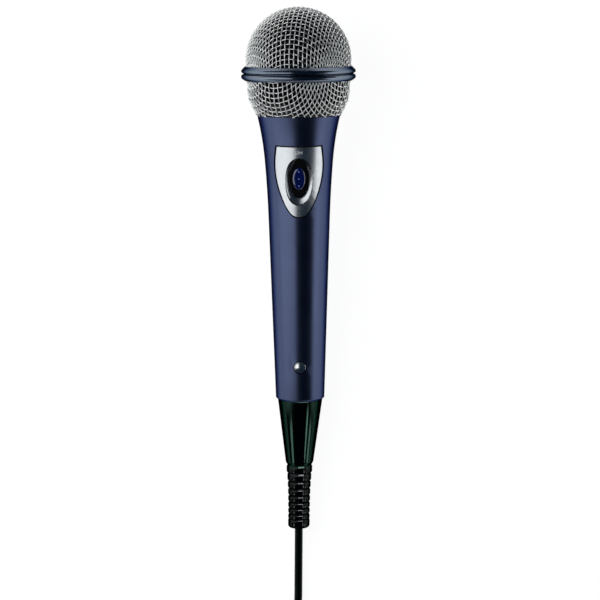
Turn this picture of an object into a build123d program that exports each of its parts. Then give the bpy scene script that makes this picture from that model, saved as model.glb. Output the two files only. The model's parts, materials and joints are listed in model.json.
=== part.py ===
from build123d import *

import os
from math import atan2, cos, degrees, pi, radians, sin, sqrt, tan

# A wired handheld karaoke microphone lying on a table: head toward +Y, switch upward.
# It rests on the rear lobe of its grille ring and on the rounded edge of its tail.
# "Along" is measured on the microphone's own axis, from the tail's end toward the head.

# Handle: a straight taper, then a flare up to the mouth
handle_length = 140.0
flare_length = 50.0
tail_radius = 11.95
grip_radius = 15.05
waist_radius = 16.75
waist_share = 0.57
mouth_radius = 20.25
mouth_slope = 0.26
tail_wall = 4.0
tail_bevel = 1.0
tail_hole_radius = 8.1
grip_bore_radius = 11.0
switch_bore_radius = 13.0
chamber_bore_radius = 14.2
chamber_length = 20.0
window_clearance = 2.0

# Neck sleeve that closes the mouth and carries the capsule and the grille head
neck_radius = 17.2
neck_bore_radius = 15.2
neck_depth = 8.0
neck_rise = 6.5

# Grille head
collar_clearance = 0.08
head_gap = 0.3
collar_length = 6.0
collar_lip = 0.7
collar_wall = 3.0
ring_rise = 20.1
ring_length = 7.8
ring_radius = 28.0
ring_groove_radius = 26.9
ring_edge_radius = 26.2
lobe_inset = 2.1
lobe_flat = 0.8
lobe_shoulder = 0.6
lobe_shoulder_drop = 0.35
ring_bore_radius = 23.6
wire = 0.65
dome_radius = 26.0
dome_centre_rise = 26.9
dome_wire_pitch = 5.6
dome_wires = 9
dome_facets = 28
basket_shoulder_rise = 8.0
basket_shoulder_radius = 24.7
basket_foot_radius = 20.95
basket_top_radius = 25.4
basket_wires = 24
foam_facets = 24
foam_wall = 3.0
foam_gap = 0.2

# Dynamic capsule on its rubber mount
capsule_radius = 13.5
capsule_wall = 1.1
capsule_floor = 1.6
capsule_drop = 5.1
capsule_rise = 7.5
mount_flange_radius = 16.9
mount_flange = 2.0
capsule_flange_radius = 15.5
capsule_flange = 1.4
cap_thickness = 1.4
cap_hole_radius = 1.7
cap_hole_circle = 8.0
fit_gap = 0.1
magnet_radius = 7.0
magnet_length = 4.4
pole_radius = 7.4
pole_length = 2.0
yoke_wall = 3.1
yoke_floor = 1.6
coil_gap = 0.6
coil_wall = 0.6
coil_length = 3.2
film = 0.3
film_dome = 1.6
film_ring_wall = 1.2

# Switch: plate, thumb slide and slide switch
switch_drop = 31.25
plate_half_width = 11.35
plate_corner_half_width = 10.6
plate_head_reach = 16.8
plate_tail_reach = 17.0
plate_thickness = 1.2
plate_gap = 0.75
plate_proud = 0.1
dish_half_width = 5.2
dish_half_length = 11.3
dish_spread = 2.8
dish_lead = 0.35
dish_depth = 3.0
dish_floor = 0.8
dish_wall = 0.9
slide_half_width = 4.85
slide_half_length = 9.7
slide_thickness = 1.4
slide_clearance = 0.2
slide_travel = 3.0
knob_half_width = 3.15
knob_half_length = 5.4
knob_height = 1.5
# The knob's dome in levels: each one's share of its height, width and length
knob_levels = ((0, 1, 1), (0.6, 0.86, 0.9), (1, 0.45, 0.55))
lever_side = 2.4
lever_depth = 1.2
lever_clearance = 0.3
post_radius = 1.6
post_reach = 13.9
switch_width = 9.0
switch_length = 18.0
switch_height = 5.5
switch_ear = 0.8
switch_screw_radius = 0.8
switch_screw_head_radius = 1.5
switch_screw_head = 0.8
switch_screw_reach = 1.5
thread_clearance = 0.05
terminal_pitch = 4.0
terminal_width = 1.2
terminal_thickness = 0.4
terminal_length = 3.0

# Tail: bush, set screw, strain relief boot
bush_radius = 10.2
bush_length = 17.5
screw_along = 17.4
screw_radius = 1.45
screw_clearance = 0.2
screw_head_radius = 2.8
screw_head = 1.5
screw_seat_depth = 1.3
screw_hole_radius = 3.15
screw_tip_gap = 0.5
screw_slot_length = 3.7
screw_slot_width = 0.6
screw_slot_depth = 0.8
boot_length = 65.0
boot_root_radius = 11.0
boot_neck_radius = 8.0
boot_flange_radius = 9.8
boot_flange = 2.5
rib_count = 8
ribbed_length = 29.8
rib_start = boot_length - ribbed_length
rib_gap = 4.1
rib_shrink = 0.94
rib_rise = 1.05
rib_fade = 0.6
rib_groove = 0.6
boot_shoulder = 4.2
boot_cone_length = rib_start - boot_shoulder
boot_cone_radius = 6.85
bead_radius = 5.35
bead_bevel = 1.1
lead_radius = 0.6
lead_spread = 3.0
lead_switch_spread = 1.1
lead_gap = 0.15

# Cord, coil and 6.35 mm plug
cord_diameter = 4.0
coil_turn_radius = 22.0
coil_columns = 4
coil_layers = 5
tie_thickness = 0.6
tie_width = 8.0
tie_slack = 0.8
plug_radius = 6.2
plug_shell_length = 24.0
plug_boot_length = 12.0
plug_boot_radius = 3.4
plug_boot_flare = 1.2
plug_collar_length = 1.5
plug_shaft_radius = 3.175
plug_sleeve_length = 20.5
plug_insulator_length = 1.2
plug_tip_length = 9.3
plug_waist_radius = 2.2
plug_bulge_inset = 0.25
plug_nose_radius = 1.0
plug_collar_radius = 4.8
plug_bevel = 1.0

# Stations along the axis
grip_length = handle_length - flare_length
switch_along = handle_length - switch_drop
ring_along = handle_length + ring_rise
dome_centre_along = handle_length + dome_centre_rise
basket_shoulder_along = handle_length + basket_shoulder_rise

# The lean that puts the ring's rear lobe and the bevelled edge of the tail on one table
lobe_half = ring_length / 2 - lobe_inset
lobe_along = ring_along - lobe_half
grip_slope = (grip_radius - tail_radius) / grip_length
tail_edge_radius = tail_radius + grip_slope * tail_bevel
lean = atan2(ring_radius - tail_edge_radius, lobe_along - tail_bevel)
toward_head = Vector(0, cos(lean), sin(lean))
upward = Vector(0, -sin(lean), cos(lean))
dome_end = dome_centre_along * cos(lean) + dome_radius
boot_end = -boot_length * cos(lean) - bead_radius * sin(lean)
tail = Vector(0, -(dome_end + boot_end) / 2, ring_radius * cos(lean) - lobe_along * sin(lean))
mic_axis = Axis(tail, toward_head)

# Sketch planes: lengthwise has x along the axis and y upward from it, deck planes lie flat above
# the axis with y toward the head, and across planes cut the axis square and face the head
lengthwise = Plane(origin=tail, x_dir=toward_head, z_dir=(1, 0, 0))
deck = Plane(origin=tail, x_dir=(1, 0, 0), z_dir=upward)


def across(along):
    return Plane(origin=tail + toward_head * along, x_dir=(-1, 0, 0), z_dir=toward_head)


def place(along, side, height):
    """A point beside the axis: along it, to the right of it and above it."""
    return tail + toward_head * along + Vector(side, 0, 0) + upward * height


def turn(*outline):
    """Turn a closed outline of (along, radius) points about the microphone's axis."""
    with BuildSketch(lengthwise) as section:
        with BuildLine() as edge:
            Polyline(*outline, close=True)
        make_face(edge.edges())
    revolve(section.sketch, axis=mic_axis)


def tube(along, length, outer, inner):
    turn((along, inner), (along, outer), (along + length, outer), (along + length, inner))


def rod(start, end, radius):
    """A round rod from one point to another."""
    run = end - start
    with BuildSketch(Plane(origin=start, z_dir=run)) as section:
        Circle(radius)
    extrude(section.sketch, amount=run.length)


def skin(inset=0.0):
    """The handle's long outline, inset millimetres inside its skin: a taper, then two tangent arcs."""
    grip_end = (grip_length, grip_radius - inset)
    waist = (grip_length + waist_share * (handle_length - grip_length), waist_radius - inset)
    with BuildLine() as line:
        Line((0, tail_radius - inset), grip_end)
        hip = TangentArc(grip_end, waist, tangent=(1, grip_slope))
        TangentArc(waist, (handle_length, mouth_radius - inset), tangent=hip % 1)
    return line


def skin_radius(along):
    line = skin().edges()
    upright = Edge.make_line((along, 0), (along, 2 * mouth_radius))
    return next(hit.center().Y for edge in line for hit in edge.intersect(upright) or [])


def close_section(line):
    """Close a long outline down to the axis, as a face of the current sketch."""
    first, last = line.edges()[0] @ 0, line.edges()[-1] @ 1
    with BuildLine() as rest:
        Polyline(last, (last.X, 0), (first.X, 0), first)
    make_face(line.edges() + rest.edges())


# The switch deck touches the skin's crest and follows its slope
crest_reach = plate_head_reach / 2
crest_rise = skin_radius(switch_along + crest_reach) - skin_radius(switch_along - crest_reach)
deck_slope = atan2(crest_rise, 2 * crest_reach)
switch_origin = place(switch_along, 0, skin_radius(switch_along))
switch_normal = upward * cos(deck_slope) - toward_head * sin(deck_slope)
switch_run = toward_head * cos(deck_slope) + upward * sin(deck_slope)
switch_deck = Plane(origin=switch_origin, x_dir=(1, 0, 0), z_dir=switch_normal)


def deck_at(depth):
    return switch_deck.offset(-depth)


def shield(grow=0.0):
    """The switch plate's outline on the current sketch: a shield with its point toward the tail."""
    corner = (plate_corner_half_width + grow, plate_head_reach + grow)
    shoulder = (plate_half_width + grow, plate_head_reach / 2)
    flank = (0.773 * plate_half_width + grow, -0.36 * plate_tail_reach)
    heel = (0.306 * plate_half_width + 0.6 * grow, -0.935 * plate_tail_reach - 0.6 * grow)
    point = (0, -plate_tail_reach - grow)
    with BuildLine() as half:
        Spline(corner, shoulder, flank, heel, point, tangents=[(0.15, -1), (-1, 0)])
        Polyline(point, (0, corner[1]), corner)
    make_face(half.edges())
    mirror(about=Plane.YZ)


def shield_slab(outer_inset, inner_inset, grow):
    """The layer of the handle's skin between two insets that lies inside the shield outline."""
    with BuildSketch(lengthwise) as layer:
        close_section(skin(outer_inset))
        with BuildSketch(mode=Mode.PRIVATE) as core:
            close_section(skin(inner_inset))
        add(core.sketch, mode=Mode.SUBTRACT)
    revolve(layer.sketch, axis=mic_axis)
    with BuildSketch(deck_at(mouth_radius)) as prism:
        shield(grow)
    extrude(prism.sketch, amount=2 * mouth_radius, mode=Mode.INTERSECT)


# ---- Handle shell -------------------------------------------------------------------------

neck_start = handle_length - neck_depth
neck_top = handle_length + neck_rise
flange_top = tail_wall + boot_flange
bush_end = flange_top + bush_length

with BuildPart() as plate_pocket:
    shield_slab(-mouth_radius / 2, plate_thickness, plate_gap)

with BuildPart() as handle_shell:
    with BuildSketch(lengthwise):
        close_section(skin())
    revolve(axis=mic_axis)
    chamfer(handle_shell.edges().sort_by(mic_axis)[0], tail_bevel)
    # Stepped bore, from the tail's hole to the neck's seat
    for bore_start, bore_end, bore_radius in (
        (0, tail_wall, tail_hole_radius),
        (tail_wall, bush_end, bush_radius + fit_gap),
        (bush_end, grip_length, grip_bore_radius),
        (grip_length, neck_start - chamber_length, switch_bore_radius),
        (neck_start - chamber_length, neck_start, chamber_bore_radius),
        (neck_start, handle_length, neck_radius),
    ):
        with BuildSketch(across(bore_start)):
            Circle(bore_radius)
        extrude(amount=bore_end - bore_start, mode=Mode.SUBTRACT)
    add(plate_pocket.part, mode=Mode.SUBTRACT)
    # Window for the plate's dish, with a slot for its two screw posts
    with BuildSketch(deck_at(dish_depth + dish_floor + window_clearance)):
        Ellipse(dish_half_width + dish_wall + plate_gap, dish_half_length + dish_wall + plate_gap)
        SlotOverall(
            2 * (post_reach + post_radius + plate_gap), 2 * (post_radius + plate_gap), rotation=90
        )
    extrude(amount=mouth_radius, mode=Mode.SUBTRACT)
    # Counterbored hole for the set screw
    with Locations(deck.offset(skin_radius(screw_along) - screw_seat_depth)):
        with Locations((0, screw_along)):
            Cylinder(screw_hole_radius, tail_radius, align=(Align.CENTER, Align.CENTER, Align.MIN),
                     mode=Mode.SUBTRACT)
            Cylinder(screw_radius + screw_clearance, tail_radius / 2,
                     align=(Align.CENTER, Align.CENTER, Align.MAX), mode=Mode.SUBTRACT)

# ---- Neck sleeve --------------------------------------------------------------------------

with BuildPart() as neck_sleeve:
    tube(neck_start, neck_depth + neck_rise, neck_radius, neck_bore_radius)

# ---- Dynamic capsule ----------------------------------------------------------------------

mount_top = neck_top + mount_flange
mount_bore_radius = capsule_radius + fit_gap
capsule_start = neck_top - capsule_drop
capsule_top = mount_top + capsule_rise
capsule_bore_radius = capsule_radius - capsule_wall

with BuildPart() as shock_mount:
    turn(
        (neck_top - neck_rise, mount_bore_radius),
        (neck_top - neck_rise, neck_bore_radius - fit_gap),
        (neck_top, neck_bore_radius - fit_gap),
        (neck_top, mount_flange_radius),
        (mount_top, mount_flange_radius),
        (mount_top, mount_bore_radius),
    )

yoke_start = capsule_start + capsule_floor

with BuildPart() as capsule_housing:
    turn(
        (capsule_start, 0),
        (capsule_start, capsule_radius),
        (mount_top, capsule_radius),
        (mount_top, capsule_flange_radius),
        (mount_top + capsule_flange, capsule_flange_radius),
        (mount_top + capsule_flange, capsule_radius),
        (capsule_top, capsule_radius),
        (capsule_top, capsule_bore_radius),
        (yoke_start, capsule_bore_radius),
        (yoke_start, 0),
    )

magnet_start = yoke_start + yoke_floor
pole_start = magnet_start + magnet_length
yoke_top = pole_start + pole_length
yoke_radius = capsule_bore_radius - fit_gap

with BuildPart() as magnet_yoke:
    turn(
        (yoke_start, 0),
        (yoke_start, yoke_radius),
        (yoke_top, yoke_radius),
        (yoke_top, yoke_radius - yoke_wall),
        (magnet_start, yoke_radius - yoke_wall),
        (magnet_start, 0),
    )

with BuildPart() as magnet:
    with BuildSketch(across(magnet_start)):
        Circle(magnet_radius)
    extrude(amount=magnet_length)

with BuildPart() as pole_plate:
    with BuildSketch(across(pole_start)):
        Circle(pole_radius)
    extrude(amount=pole_length)

coil_bore_radius = pole_radius + coil_gap
coil_radius = coil_bore_radius + coil_wall
coil_end = yoke_top + coil_length / 2

with BuildPart() as voice_coil:
    tube(coil_end - coil_length, coil_length, coil_radius, coil_bore_radius)

# A flat film with a domed middle, glued to the yoke's rim
film_crown = coil_end + film + film_dome

with BuildPart() as diaphragm:
    turn(
        (coil_end, 0),
        (coil_end, yoke_radius),
        (coil_end + film, yoke_radius),
        (coil_end + film, coil_bore_radius),
        (film_crown, 0),
    )

with BuildPart() as film_ring:
    tube(yoke_top, coil_end - yoke_top, yoke_radius, yoke_radius - film_ring_wall)

with BuildPart() as capsule_cap:
    with BuildSketch(across(capsule_top)):
        Circle(capsule_radius)
        Circle(cap_hole_radius, mode=Mode.SUBTRACT)
        with PolarLocations(cap_hole_circle, 6):
            Circle(cap_hole_radius, mode=Mode.SUBTRACT)
    extrude(amount=cap_thickness)

# ---- Grille head --------------------------------------------------------------------------

collar_start = handle_length + head_gap
collar_top = collar_start + collar_length
collar_bore_radius = neck_radius + collar_clearance
basket_foot_along = collar_start + collar_lip
ring_start = ring_along - ring_length / 2
ring_end = ring_along + ring_length / 2

with BuildPart() as grille_collar:
    turn(
        (collar_start, collar_bore_radius),
        (collar_start, basket_foot_radius - collar_lip),
        (basket_foot_along, basket_foot_radius),
        (basket_foot_along, basket_foot_radius - 2 * wire),
        (collar_top, collar_bore_radius + collar_wall),
        (collar_top, collar_bore_radius),
    )

with BuildPart() as grille_ring:
    turn(
        (ring_start, ring_bore_radius),
        (ring_start, ring_edge_radius),
        (lobe_along - lobe_shoulder, ring_radius - lobe_shoulder_drop),
        (lobe_along, ring_radius),
        (lobe_along + lobe_flat, ring_radius),
        (ring_along, ring_groove_radius),
        (ring_along + lobe_half - lobe_flat, ring_radius),
        (ring_along + lobe_half, ring_radius),
        (ring_along + lobe_half + lobe_shoulder, ring_radius - lobe_shoulder_drop),
        (ring_end, ring_edge_radius),
        (ring_end, ring_bore_radius),
    )


def hoops(first_plane, radius, rotation):
    """A family of parallel arched wires that follow the dome and stand on the ring."""
    family = []
    for number in range(dome_wires):
        offset_from_middle = (number - (dome_wires - 1) / 2) * dome_wire_pitch
        arch = sqrt(radius**2 - offset_from_middle**2)
        with BuildSketch(first_plane.offset(offset_from_middle)) as hoop:
            with Locations(Location((0, 0), rotation)):
                with Locations((dome_centre_along, 0)):
                    RegularPolygon(arch, dome_facets)
                    RegularPolygon(arch - wire, dome_facets, mode=Mode.SUBTRACT)
                    Rectangle(2 * dome_radius, 3 * dome_radius, align=(Align.MAX, Align.CENTER),
                              mode=Mode.SUBTRACT)
                for side in (-1, 1):
                    with Locations((dome_centre_along, side * (arch - wire / 2))):
                        Rectangle(dome_centre_along - ring_end, wire, align=(Align.MAX, Align.CENTER))
        family.append(extrude(hoop.sketch, amount=wire / 2, both=True, mode=Mode.PRIVATE))
    return family


with BuildPart() as dome_grille:
    add(hoops(lengthwise, dome_radius, 0) + hoops(deck, dome_radius - wire / 3, 90))

wire_step = 2 * pi / basket_wires
basket_slope = (basket_shoulder_radius - basket_foot_radius) / (basket_shoulder_along - basket_foot_along)
basket_levels = (
    (basket_foot_along, basket_foot_radius - wire / 2),
    (basket_shoulder_along, basket_shoulder_radius - wire / 2),
    (ring_start, basket_top_radius - wire / 2),
)


def basket_bar(middle, lean_way):
    """One square wire that leans round the basket as it climbs from the collar to the ring."""
    outward = Vector(sin(middle), 0, 0) + upward * cos(middle)
    sections = []
    for along, radius in basket_levels:
        angle = middle + lean_way * (along - basket_shoulder_along) / basket_shoulder_radius
        point = place(along, radius * sin(angle), radius * cos(angle))
        with BuildSketch(Plane(origin=point, x_dir=outward, z_dir=toward_head)) as section:
            Rectangle(wire, wire)
        sections.append(section.sketch)
    return loft(sections, ruled=True, mode=Mode.PRIVATE)


with BuildPart() as basket_grille:
    add([basket_bar(number * wire_step, way) for number in range(basket_wires) for way in (-1, 1)])

foam_radius = ring_bore_radius - foam_gap


def foam(levels, mode=Mode.ADD):
    """A soft many-sided body through levels of (along, radius)."""
    corners = [2 * pi * number / foam_facets for number in range(foam_facets)]
    ConvexPolyhedron(
        [place(along, radius * sin(corner), radius * cos(corner)) for along, radius in levels for corner in corners],
        mode=mode,
    )


def dome_foam_levels(wall):
    """Levels of the dome liner, wall millimetres inside its outer face."""
    radius = foam_radius - wall
    levels = [(ring_along + foam_gap / 2, radius)]
    for lift in (0, radians(25), radians(50), radians(75)):
        levels.append((dome_centre_along + radius * sin(lift), radius * cos(lift)))
    return levels


def basket_foam_levels(wall):
    """Levels of the basket liner, wall millimetres inside its outer face."""
    foot_along = collar_top + foam_gap
    foot_radius = basket_foot_radius + basket_slope * (foot_along - basket_foot_along) - wire - foam_gap
    return [(foot_along, foot_radius - wall), (ring_along - foam_gap / 2, foam_radius - wall)]


with BuildPart() as dome_foam:
    foam(dome_foam_levels(0))
    foam(dome_foam_levels(foam_wall), mode=Mode.SUBTRACT)

with BuildPart() as basket_foam:
    foam(basket_foam_levels(0))
    foam(basket_foam_levels(foam_wall), mode=Mode.SUBTRACT)

# ---- Switch -------------------------------------------------------------------------------

with BuildPart() as switch_plate:
    shield_slab(-plate_proud, plate_thickness, 0)
    # Cup of the dish and the two screw posts under the plate
    with BuildSketch(deck_at(dish_depth + dish_floor)):
        Ellipse(dish_half_width + dish_wall, dish_half_length + dish_wall)
        with Locations((0, post_reach), (0, -post_reach)):
            Circle(post_radius)
    extrude(amount=dish_depth + dish_floor - plate_thickness / 2)
    # The dish: its sides slope, its ends are steep
    with BuildSketch(deck_at(dish_depth)):
        Ellipse(dish_half_width, dish_half_length)
    with BuildSketch(deck_at(-dish_depth)):
        Ellipse(dish_half_width + 2 * dish_spread, dish_half_length + 2 * dish_lead)
    loft(ruled=True, mode=Mode.SUBTRACT)
    with BuildSketch(deck_at(dish_depth)):
        with Locations((0, -slide_travel / 2)):
            Rectangle(lever_side + 2 * lever_clearance, lever_side + slide_travel + 2 * lever_clearance)
    extrude(amount=-dish_floor, mode=Mode.SUBTRACT)
    with BuildSketch(deck_at(dish_depth + dish_floor)):
        with Locations((0, post_reach), (0, -post_reach)):
            Circle(switch_screw_radius)
    extrude(amount=dish_depth + dish_floor - 1.5 * plate_thickness, mode=Mode.SUBTRACT)

slide_bottom = dish_depth - slide_clearance
slide_top = slide_bottom - slide_thickness
slide_centre = slide_travel / 2

with BuildPart() as thumb_slide:
    with BuildSketch(deck_at(slide_bottom)):
        with Locations((0, slide_centre)):
            Ellipse(slide_half_width, slide_half_length)
    extrude(amount=slide_thickness)

with BuildPart() as thumb_knob:
    for height, width, length in knob_levels:
        with BuildSketch(deck_at(slide_top - height * knob_height)):
            with Locations((0, slide_centre)):
                Ellipse(width * knob_half_width, length * knob_half_length)
    loft(ruled=True)

switch_top = dish_depth + dish_floor

with BuildPart() as switch_lever:
    with BuildSketch(deck_at(switch_top + lever_depth)):
        Rectangle(lever_side, lever_side)
    extrude(amount=switch_top + lever_depth - slide_bottom)

with BuildPart() as slide_switch:
    with BuildSketch(deck_at(switch_top)):
        SlotOverall(2 * (post_reach + post_radius), 2 * post_radius, rotation=90)
        Rectangle(switch_width, switch_length)
        with Locations((0, post_reach), (0, -post_reach)):
            Circle(switch_screw_radius, mode=Mode.SUBTRACT)
    extrude(amount=-switch_ear)
    with BuildSketch(deck_at(switch_top)):
        Rectangle(switch_width, switch_length)
    extrude(amount=-switch_height)
    with BuildSketch(deck_at(switch_top)):
        with Locations((0, -slide_travel / 2)):
            Rectangle(lever_side + 2 * lever_clearance, lever_side + slide_travel + 2 * lever_clearance)
    extrude(amount=-lever_depth - lever_clearance, mode=Mode.SUBTRACT)

with BuildPart() as switch_screws:
    with BuildSketch(deck_at(switch_top + switch_ear)):
        with Locations((0, post_reach), (0, -post_reach)):
            Circle(switch_screw_head_radius)
    extrude(amount=-switch_screw_head)
    with BuildSketch(deck_at(switch_top + switch_ear)):
        with Locations((0, post_reach), (0, -post_reach)):
            Circle(switch_screw_radius - thread_clearance)
    extrude(amount=switch_ear + switch_screw_reach)

terminal_top = switch_top + switch_height

with BuildPart() as switch_terminals:
    with BuildSketch(deck_at(terminal_top)):
        with GridLocations(0, terminal_pitch, 1, 3):
            Rectangle(terminal_width, terminal_thickness)
    extrude(amount=-terminal_length)

# ---- Tail ---------------------------------------------------------------------------------

bush_bore = cord_diameter / 2 + fit_gap

with BuildPart() as tail_bush:
    tube(flange_top, bush_length, bush_radius, bush_bore)
    with Locations(deck):
        with Locations((0, screw_along)):
            Cylinder(screw_radius + thread_clearance, tail_radius, align=(Align.CENTER, Align.CENTER, Align.MIN),
                     mode=Mode.SUBTRACT)

screw_seat = skin_radius(screw_along) - screw_seat_depth

with BuildPart() as set_screw:
    with BuildSketch(deck.offset(screw_seat)):
        with Locations((0, screw_along)):
            Circle(screw_head_radius)
    extrude(amount=screw_head)
    crown = set_screw.edges().filter_by(GeomType.CIRCLE).sort_by(Axis(tail, upward))[-1]
    chamfer(crown, screw_head / 2)
    with BuildSketch(deck.offset(screw_seat)):
        with Locations((0, screw_along)):
            Circle(screw_radius)
    extrude(amount=bush_bore + screw_tip_gap - screw_seat)
    with BuildSketch(deck.offset(screw_seat + screw_head)):
        with Locations((0, screw_along)):
            Rectangle(screw_slot_length, screw_slot_width)
            Rectangle(screw_slot_width, screw_slot_length)
    extrude(amount=-screw_slot_depth, mode=Mode.SUBTRACT)

with BuildPart() as strain_relief:
    ribs = []
    rib_along = -rib_start
    for number in range(rib_count):
        pitch = rib_gap * rib_shrink**number
        crest = bead_radius + rib_rise * rib_fade**number
        ribs += [(rib_along, crest), (rib_along - pitch / 2, crest - rib_groove)]
        rib_along -= pitch
    turn(
        (flange_top, 0),
        (flange_top, boot_flange_radius),
        (tail_wall, boot_flange_radius),
        (tail_wall, boot_neck_radius),
        (0, boot_neck_radius),
        (0, boot_root_radius),
        (-boot_cone_length, boot_cone_radius),
        (-rib_start + rib_gap / 2, bead_radius + rib_rise - rib_groove),
        *ribs,
        (rib_along, bead_radius),
        (-boot_length + bead_bevel, bead_radius),
        (-boot_length, bead_radius - bead_bevel),
        (-boot_length, 0),
    )

# Leads inside the handle: from the cord's end and from the capsule to the switch terminals
with BuildPart() as cord_core:
    with BuildSketch(across(flange_top)):
        Circle(cord_diameter / 2)
    extrude(amount=bush_length + 2 * cord_diameter)


def switch_point(side, reach, depth):
    return switch_origin + Vector(side, 0, 0) + switch_run * reach - switch_normal * depth


lead_depth = terminal_top + terminal_length + lead_radius

with BuildPart() as cord_leads:
    for side in (-1, 1):
        start = place(bush_end + 2 * cord_diameter + lead_gap, side * lead_switch_spread, 0)
        rod(start, switch_point(side * lead_switch_spread, -terminal_pitch, lead_depth), lead_radius)

with BuildPart() as capsule_leads:
    for side in (-1, 1):
        start = place(capsule_start - lead_gap, side * lead_spread, 0)
        rod(start, switch_point(side * lead_switch_spread, terminal_pitch, lead_depth), lead_radius)

# ---- Cord, coil and plug ------------------------------------------------------------------

boot_mouth = place(-boot_length, 0, 0)
cord_route = [
    boot_mouth,
    place(-boot_length - 22.0, 0, 0),
    Vector(-1.5, -173.0, 2.15),
    Vector(-8.0, -194.0, 2.3),
]
plug_route = [
    Vector(-9.3, -203.0, 2.7),
    Vector(-9.3, -214.5, 3.0),
    Vector(-9.6, -227.0, 6.2),
    Vector(-9.6, -239.0, 6.2),
]


def bends(route):
    """The radius of each bend, as large as its two runs allow."""
    radii = []
    for before, corner, after in zip(route, route[1:], route[2:]):
        shorter = min((corner - before).length, (after - corner).length)
        half_turn = radians((corner - before).get_angle(after - corner)) / 2
        radii.append(0.45 * shorter / tan(half_turn))
    return radii


def cord(route):
    """A round cord along straight runs joined by tangent arcs."""
    radii = bends(route)
    with BuildLine() as path:
        FilletPolyline(*route, radius=radii)
    with BuildSketch(Plane(origin=route[0], z_dir=route[1] - route[0])) as section:
        Circle(cord_diameter / 2)
    sweep(section.sketch, path=path.line)
    print("bend radii", [round(radius, 1) for radius in radii])
    length = sum(edge.length for edge in path.edges())
    print("length times section", round(length * pi * cord_diameter**2 / 4, 2))


with BuildPart() as cord_tube:
    cord(cord_route)
print("cord_tube volume", round(cord_tube.part.volume, 2))

with BuildPart() as cord_tail:
    cord(plug_route)
print("cord_tail volume", round(cord_tail.part.volume, 2))

coil_centre = Vector(18.7, -202.3)
bundle = coil_columns * cord_diameter
coil_outer = coil_turn_radius + bundle / 2
coil_inner = coil_turn_radius - bundle / 2
coil_height = coil_layers * cord_diameter

with BuildPart() as cord_coil:
    with BuildSketch(Plane.XY.offset(tie_thickness)):
        with Locations((coil_centre.X, coil_centre.Y)):
            RegularPolygon(coil_outer, 36)
            RegularPolygon(coil_inner, 36, mode=Mode.SUBTRACT)
    extrude(amount=coil_height)
    rims = cord_coil.faces().sort_by(Axis.Z)
    chamfer(rims[0].edges() + rims[-1].edges(), cord_diameter / 2)

with BuildPart() as cord_tie:
    with BuildSketch(Plane.XZ.offset(-coil_centre.Y)):
        with Locations((coil_centre.X + coil_turn_radius - tie_slack / 2, tie_thickness + coil_height / 2)):
            Rectangle(bundle + tie_slack + 2 * tie_thickness, coil_height + 2 * tie_thickness)
            Rectangle(bundle + tie_slack, coil_height, mode=Mode.SUBTRACT)
    extrude(amount=tie_width / 2, both=True)

plug_back = plug_route[-1]
plug_axis = Axis(plug_back, (0, -1, 0))
plug_plane = Plane(origin=plug_back, x_dir=(0, -1, 0), z_dir=(-1, 0, 0))


def plug_turn(*outline):
    """Turn a closed outline of (distance from the cord's end, radius) about the plug's axis."""
    with BuildSketch(plug_plane) as section:
        with BuildLine() as edge:
            Polyline(*outline, close=True)
        make_face(edge.edges())
    revolve(section.sketch, axis=plug_axis)


shell_start = plug_boot_length
collar_at = shell_start + plug_shell_length
sleeve_start = collar_at + plug_collar_length
insulator_start = sleeve_start + plug_sleeve_length
tip_start = insulator_start + plug_insulator_length

with BuildPart() as plug_boot:
    plug_turn(
        (0, 0),
        (0, plug_boot_radius),
        (shell_start, plug_boot_radius + plug_boot_flare),
        (shell_start, 0),
    )

with BuildPart() as plug_shell:
    plug_turn(
        (shell_start, 0),
        (shell_start, plug_radius - plug_bevel),
        (shell_start + plug_bevel, plug_radius),
        (collar_at, plug_radius),
        (collar_at, 0),
    )

with BuildPart() as plug_sleeve:
    plug_turn(
        (collar_at, 0),
        (collar_at, plug_collar_radius),
        (sleeve_start, plug_collar_radius),
        (sleeve_start, plug_shaft_radius),
        (insulator_start, plug_shaft_radius),
        (insulator_start, 0),
    )

with BuildPart() as plug_insulator:
    plug_turn(
        (insulator_start, 0),
        (insulator_start, plug_shaft_radius),
        (tip_start, plug_shaft_radius),
        (tip_start, 0),
    )

with BuildPart() as plug_tip:
    plug_turn(
        (tip_start, 0),
        (tip_start, plug_shaft_radius),
        (tip_start + 0.25 * plug_tip_length, plug_shaft_radius),
        (tip_start + 0.45 * plug_tip_length, plug_waist_radius),
        (tip_start + 0.65 * plug_tip_length, plug_shaft_radius - plug_bulge_inset),
        (tip_start + plug_tip_length, plug_nose_radius),
        (tip_start + plug_tip_length, 0),
    )

# ---- Files --------------------------------------------------------------------------------

pieces = {
    "handle_shell": handle_shell,
    "neck_sleeve": neck_sleeve,
    "shock_mount": shock_mount,
    "capsule_housing": capsule_housing,
    "magnet_yoke": magnet_yoke,
    "magnet": magnet,
    "pole_plate": pole_plate,
    "voice_coil": voice_coil,
    "film_ring": film_ring,
    "diaphragm": diaphragm,
    "capsule_cap": capsule_cap,
    "grille_collar": grille_collar,
    "grille_ring": grille_ring,
    "dome_grille": dome_grille,
    "basket_grille": basket_grille,
    "dome_foam": dome_foam,
    "basket_foam": basket_foam,
    "switch_plate": switch_plate,
    "thumb_slide": thumb_slide,
    "thumb_knob": thumb_knob,
    "switch_lever": switch_lever,
    "slide_switch": slide_switch,
    "switch_screws": switch_screws,
    "switch_terminals": switch_terminals,
    "tail_bush": tail_bush,
    "set_screw": set_screw,
    "strain_relief": strain_relief,
    "cord_core": cord_core,
    "cord_leads": cord_leads,
    "capsule_leads": capsule_leads,
    "cord_tube": cord_tube,
    "cord_coil": cord_coil,
    "cord_tie": cord_tie,
    "cord_tail": cord_tail,
    "plug_boot": plug_boot,
    "plug_shell": plug_shell,
    "plug_sleeve": plug_sleeve,
    "plug_insulator": plug_insulator,
    "plug_tip": plug_tip,
}

os.makedirs("parts", exist_ok=True)
for label, piece in pieces.items():
    piece.part.label = label
    export_step(piece.part, f"parts/{label}.step")

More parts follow.
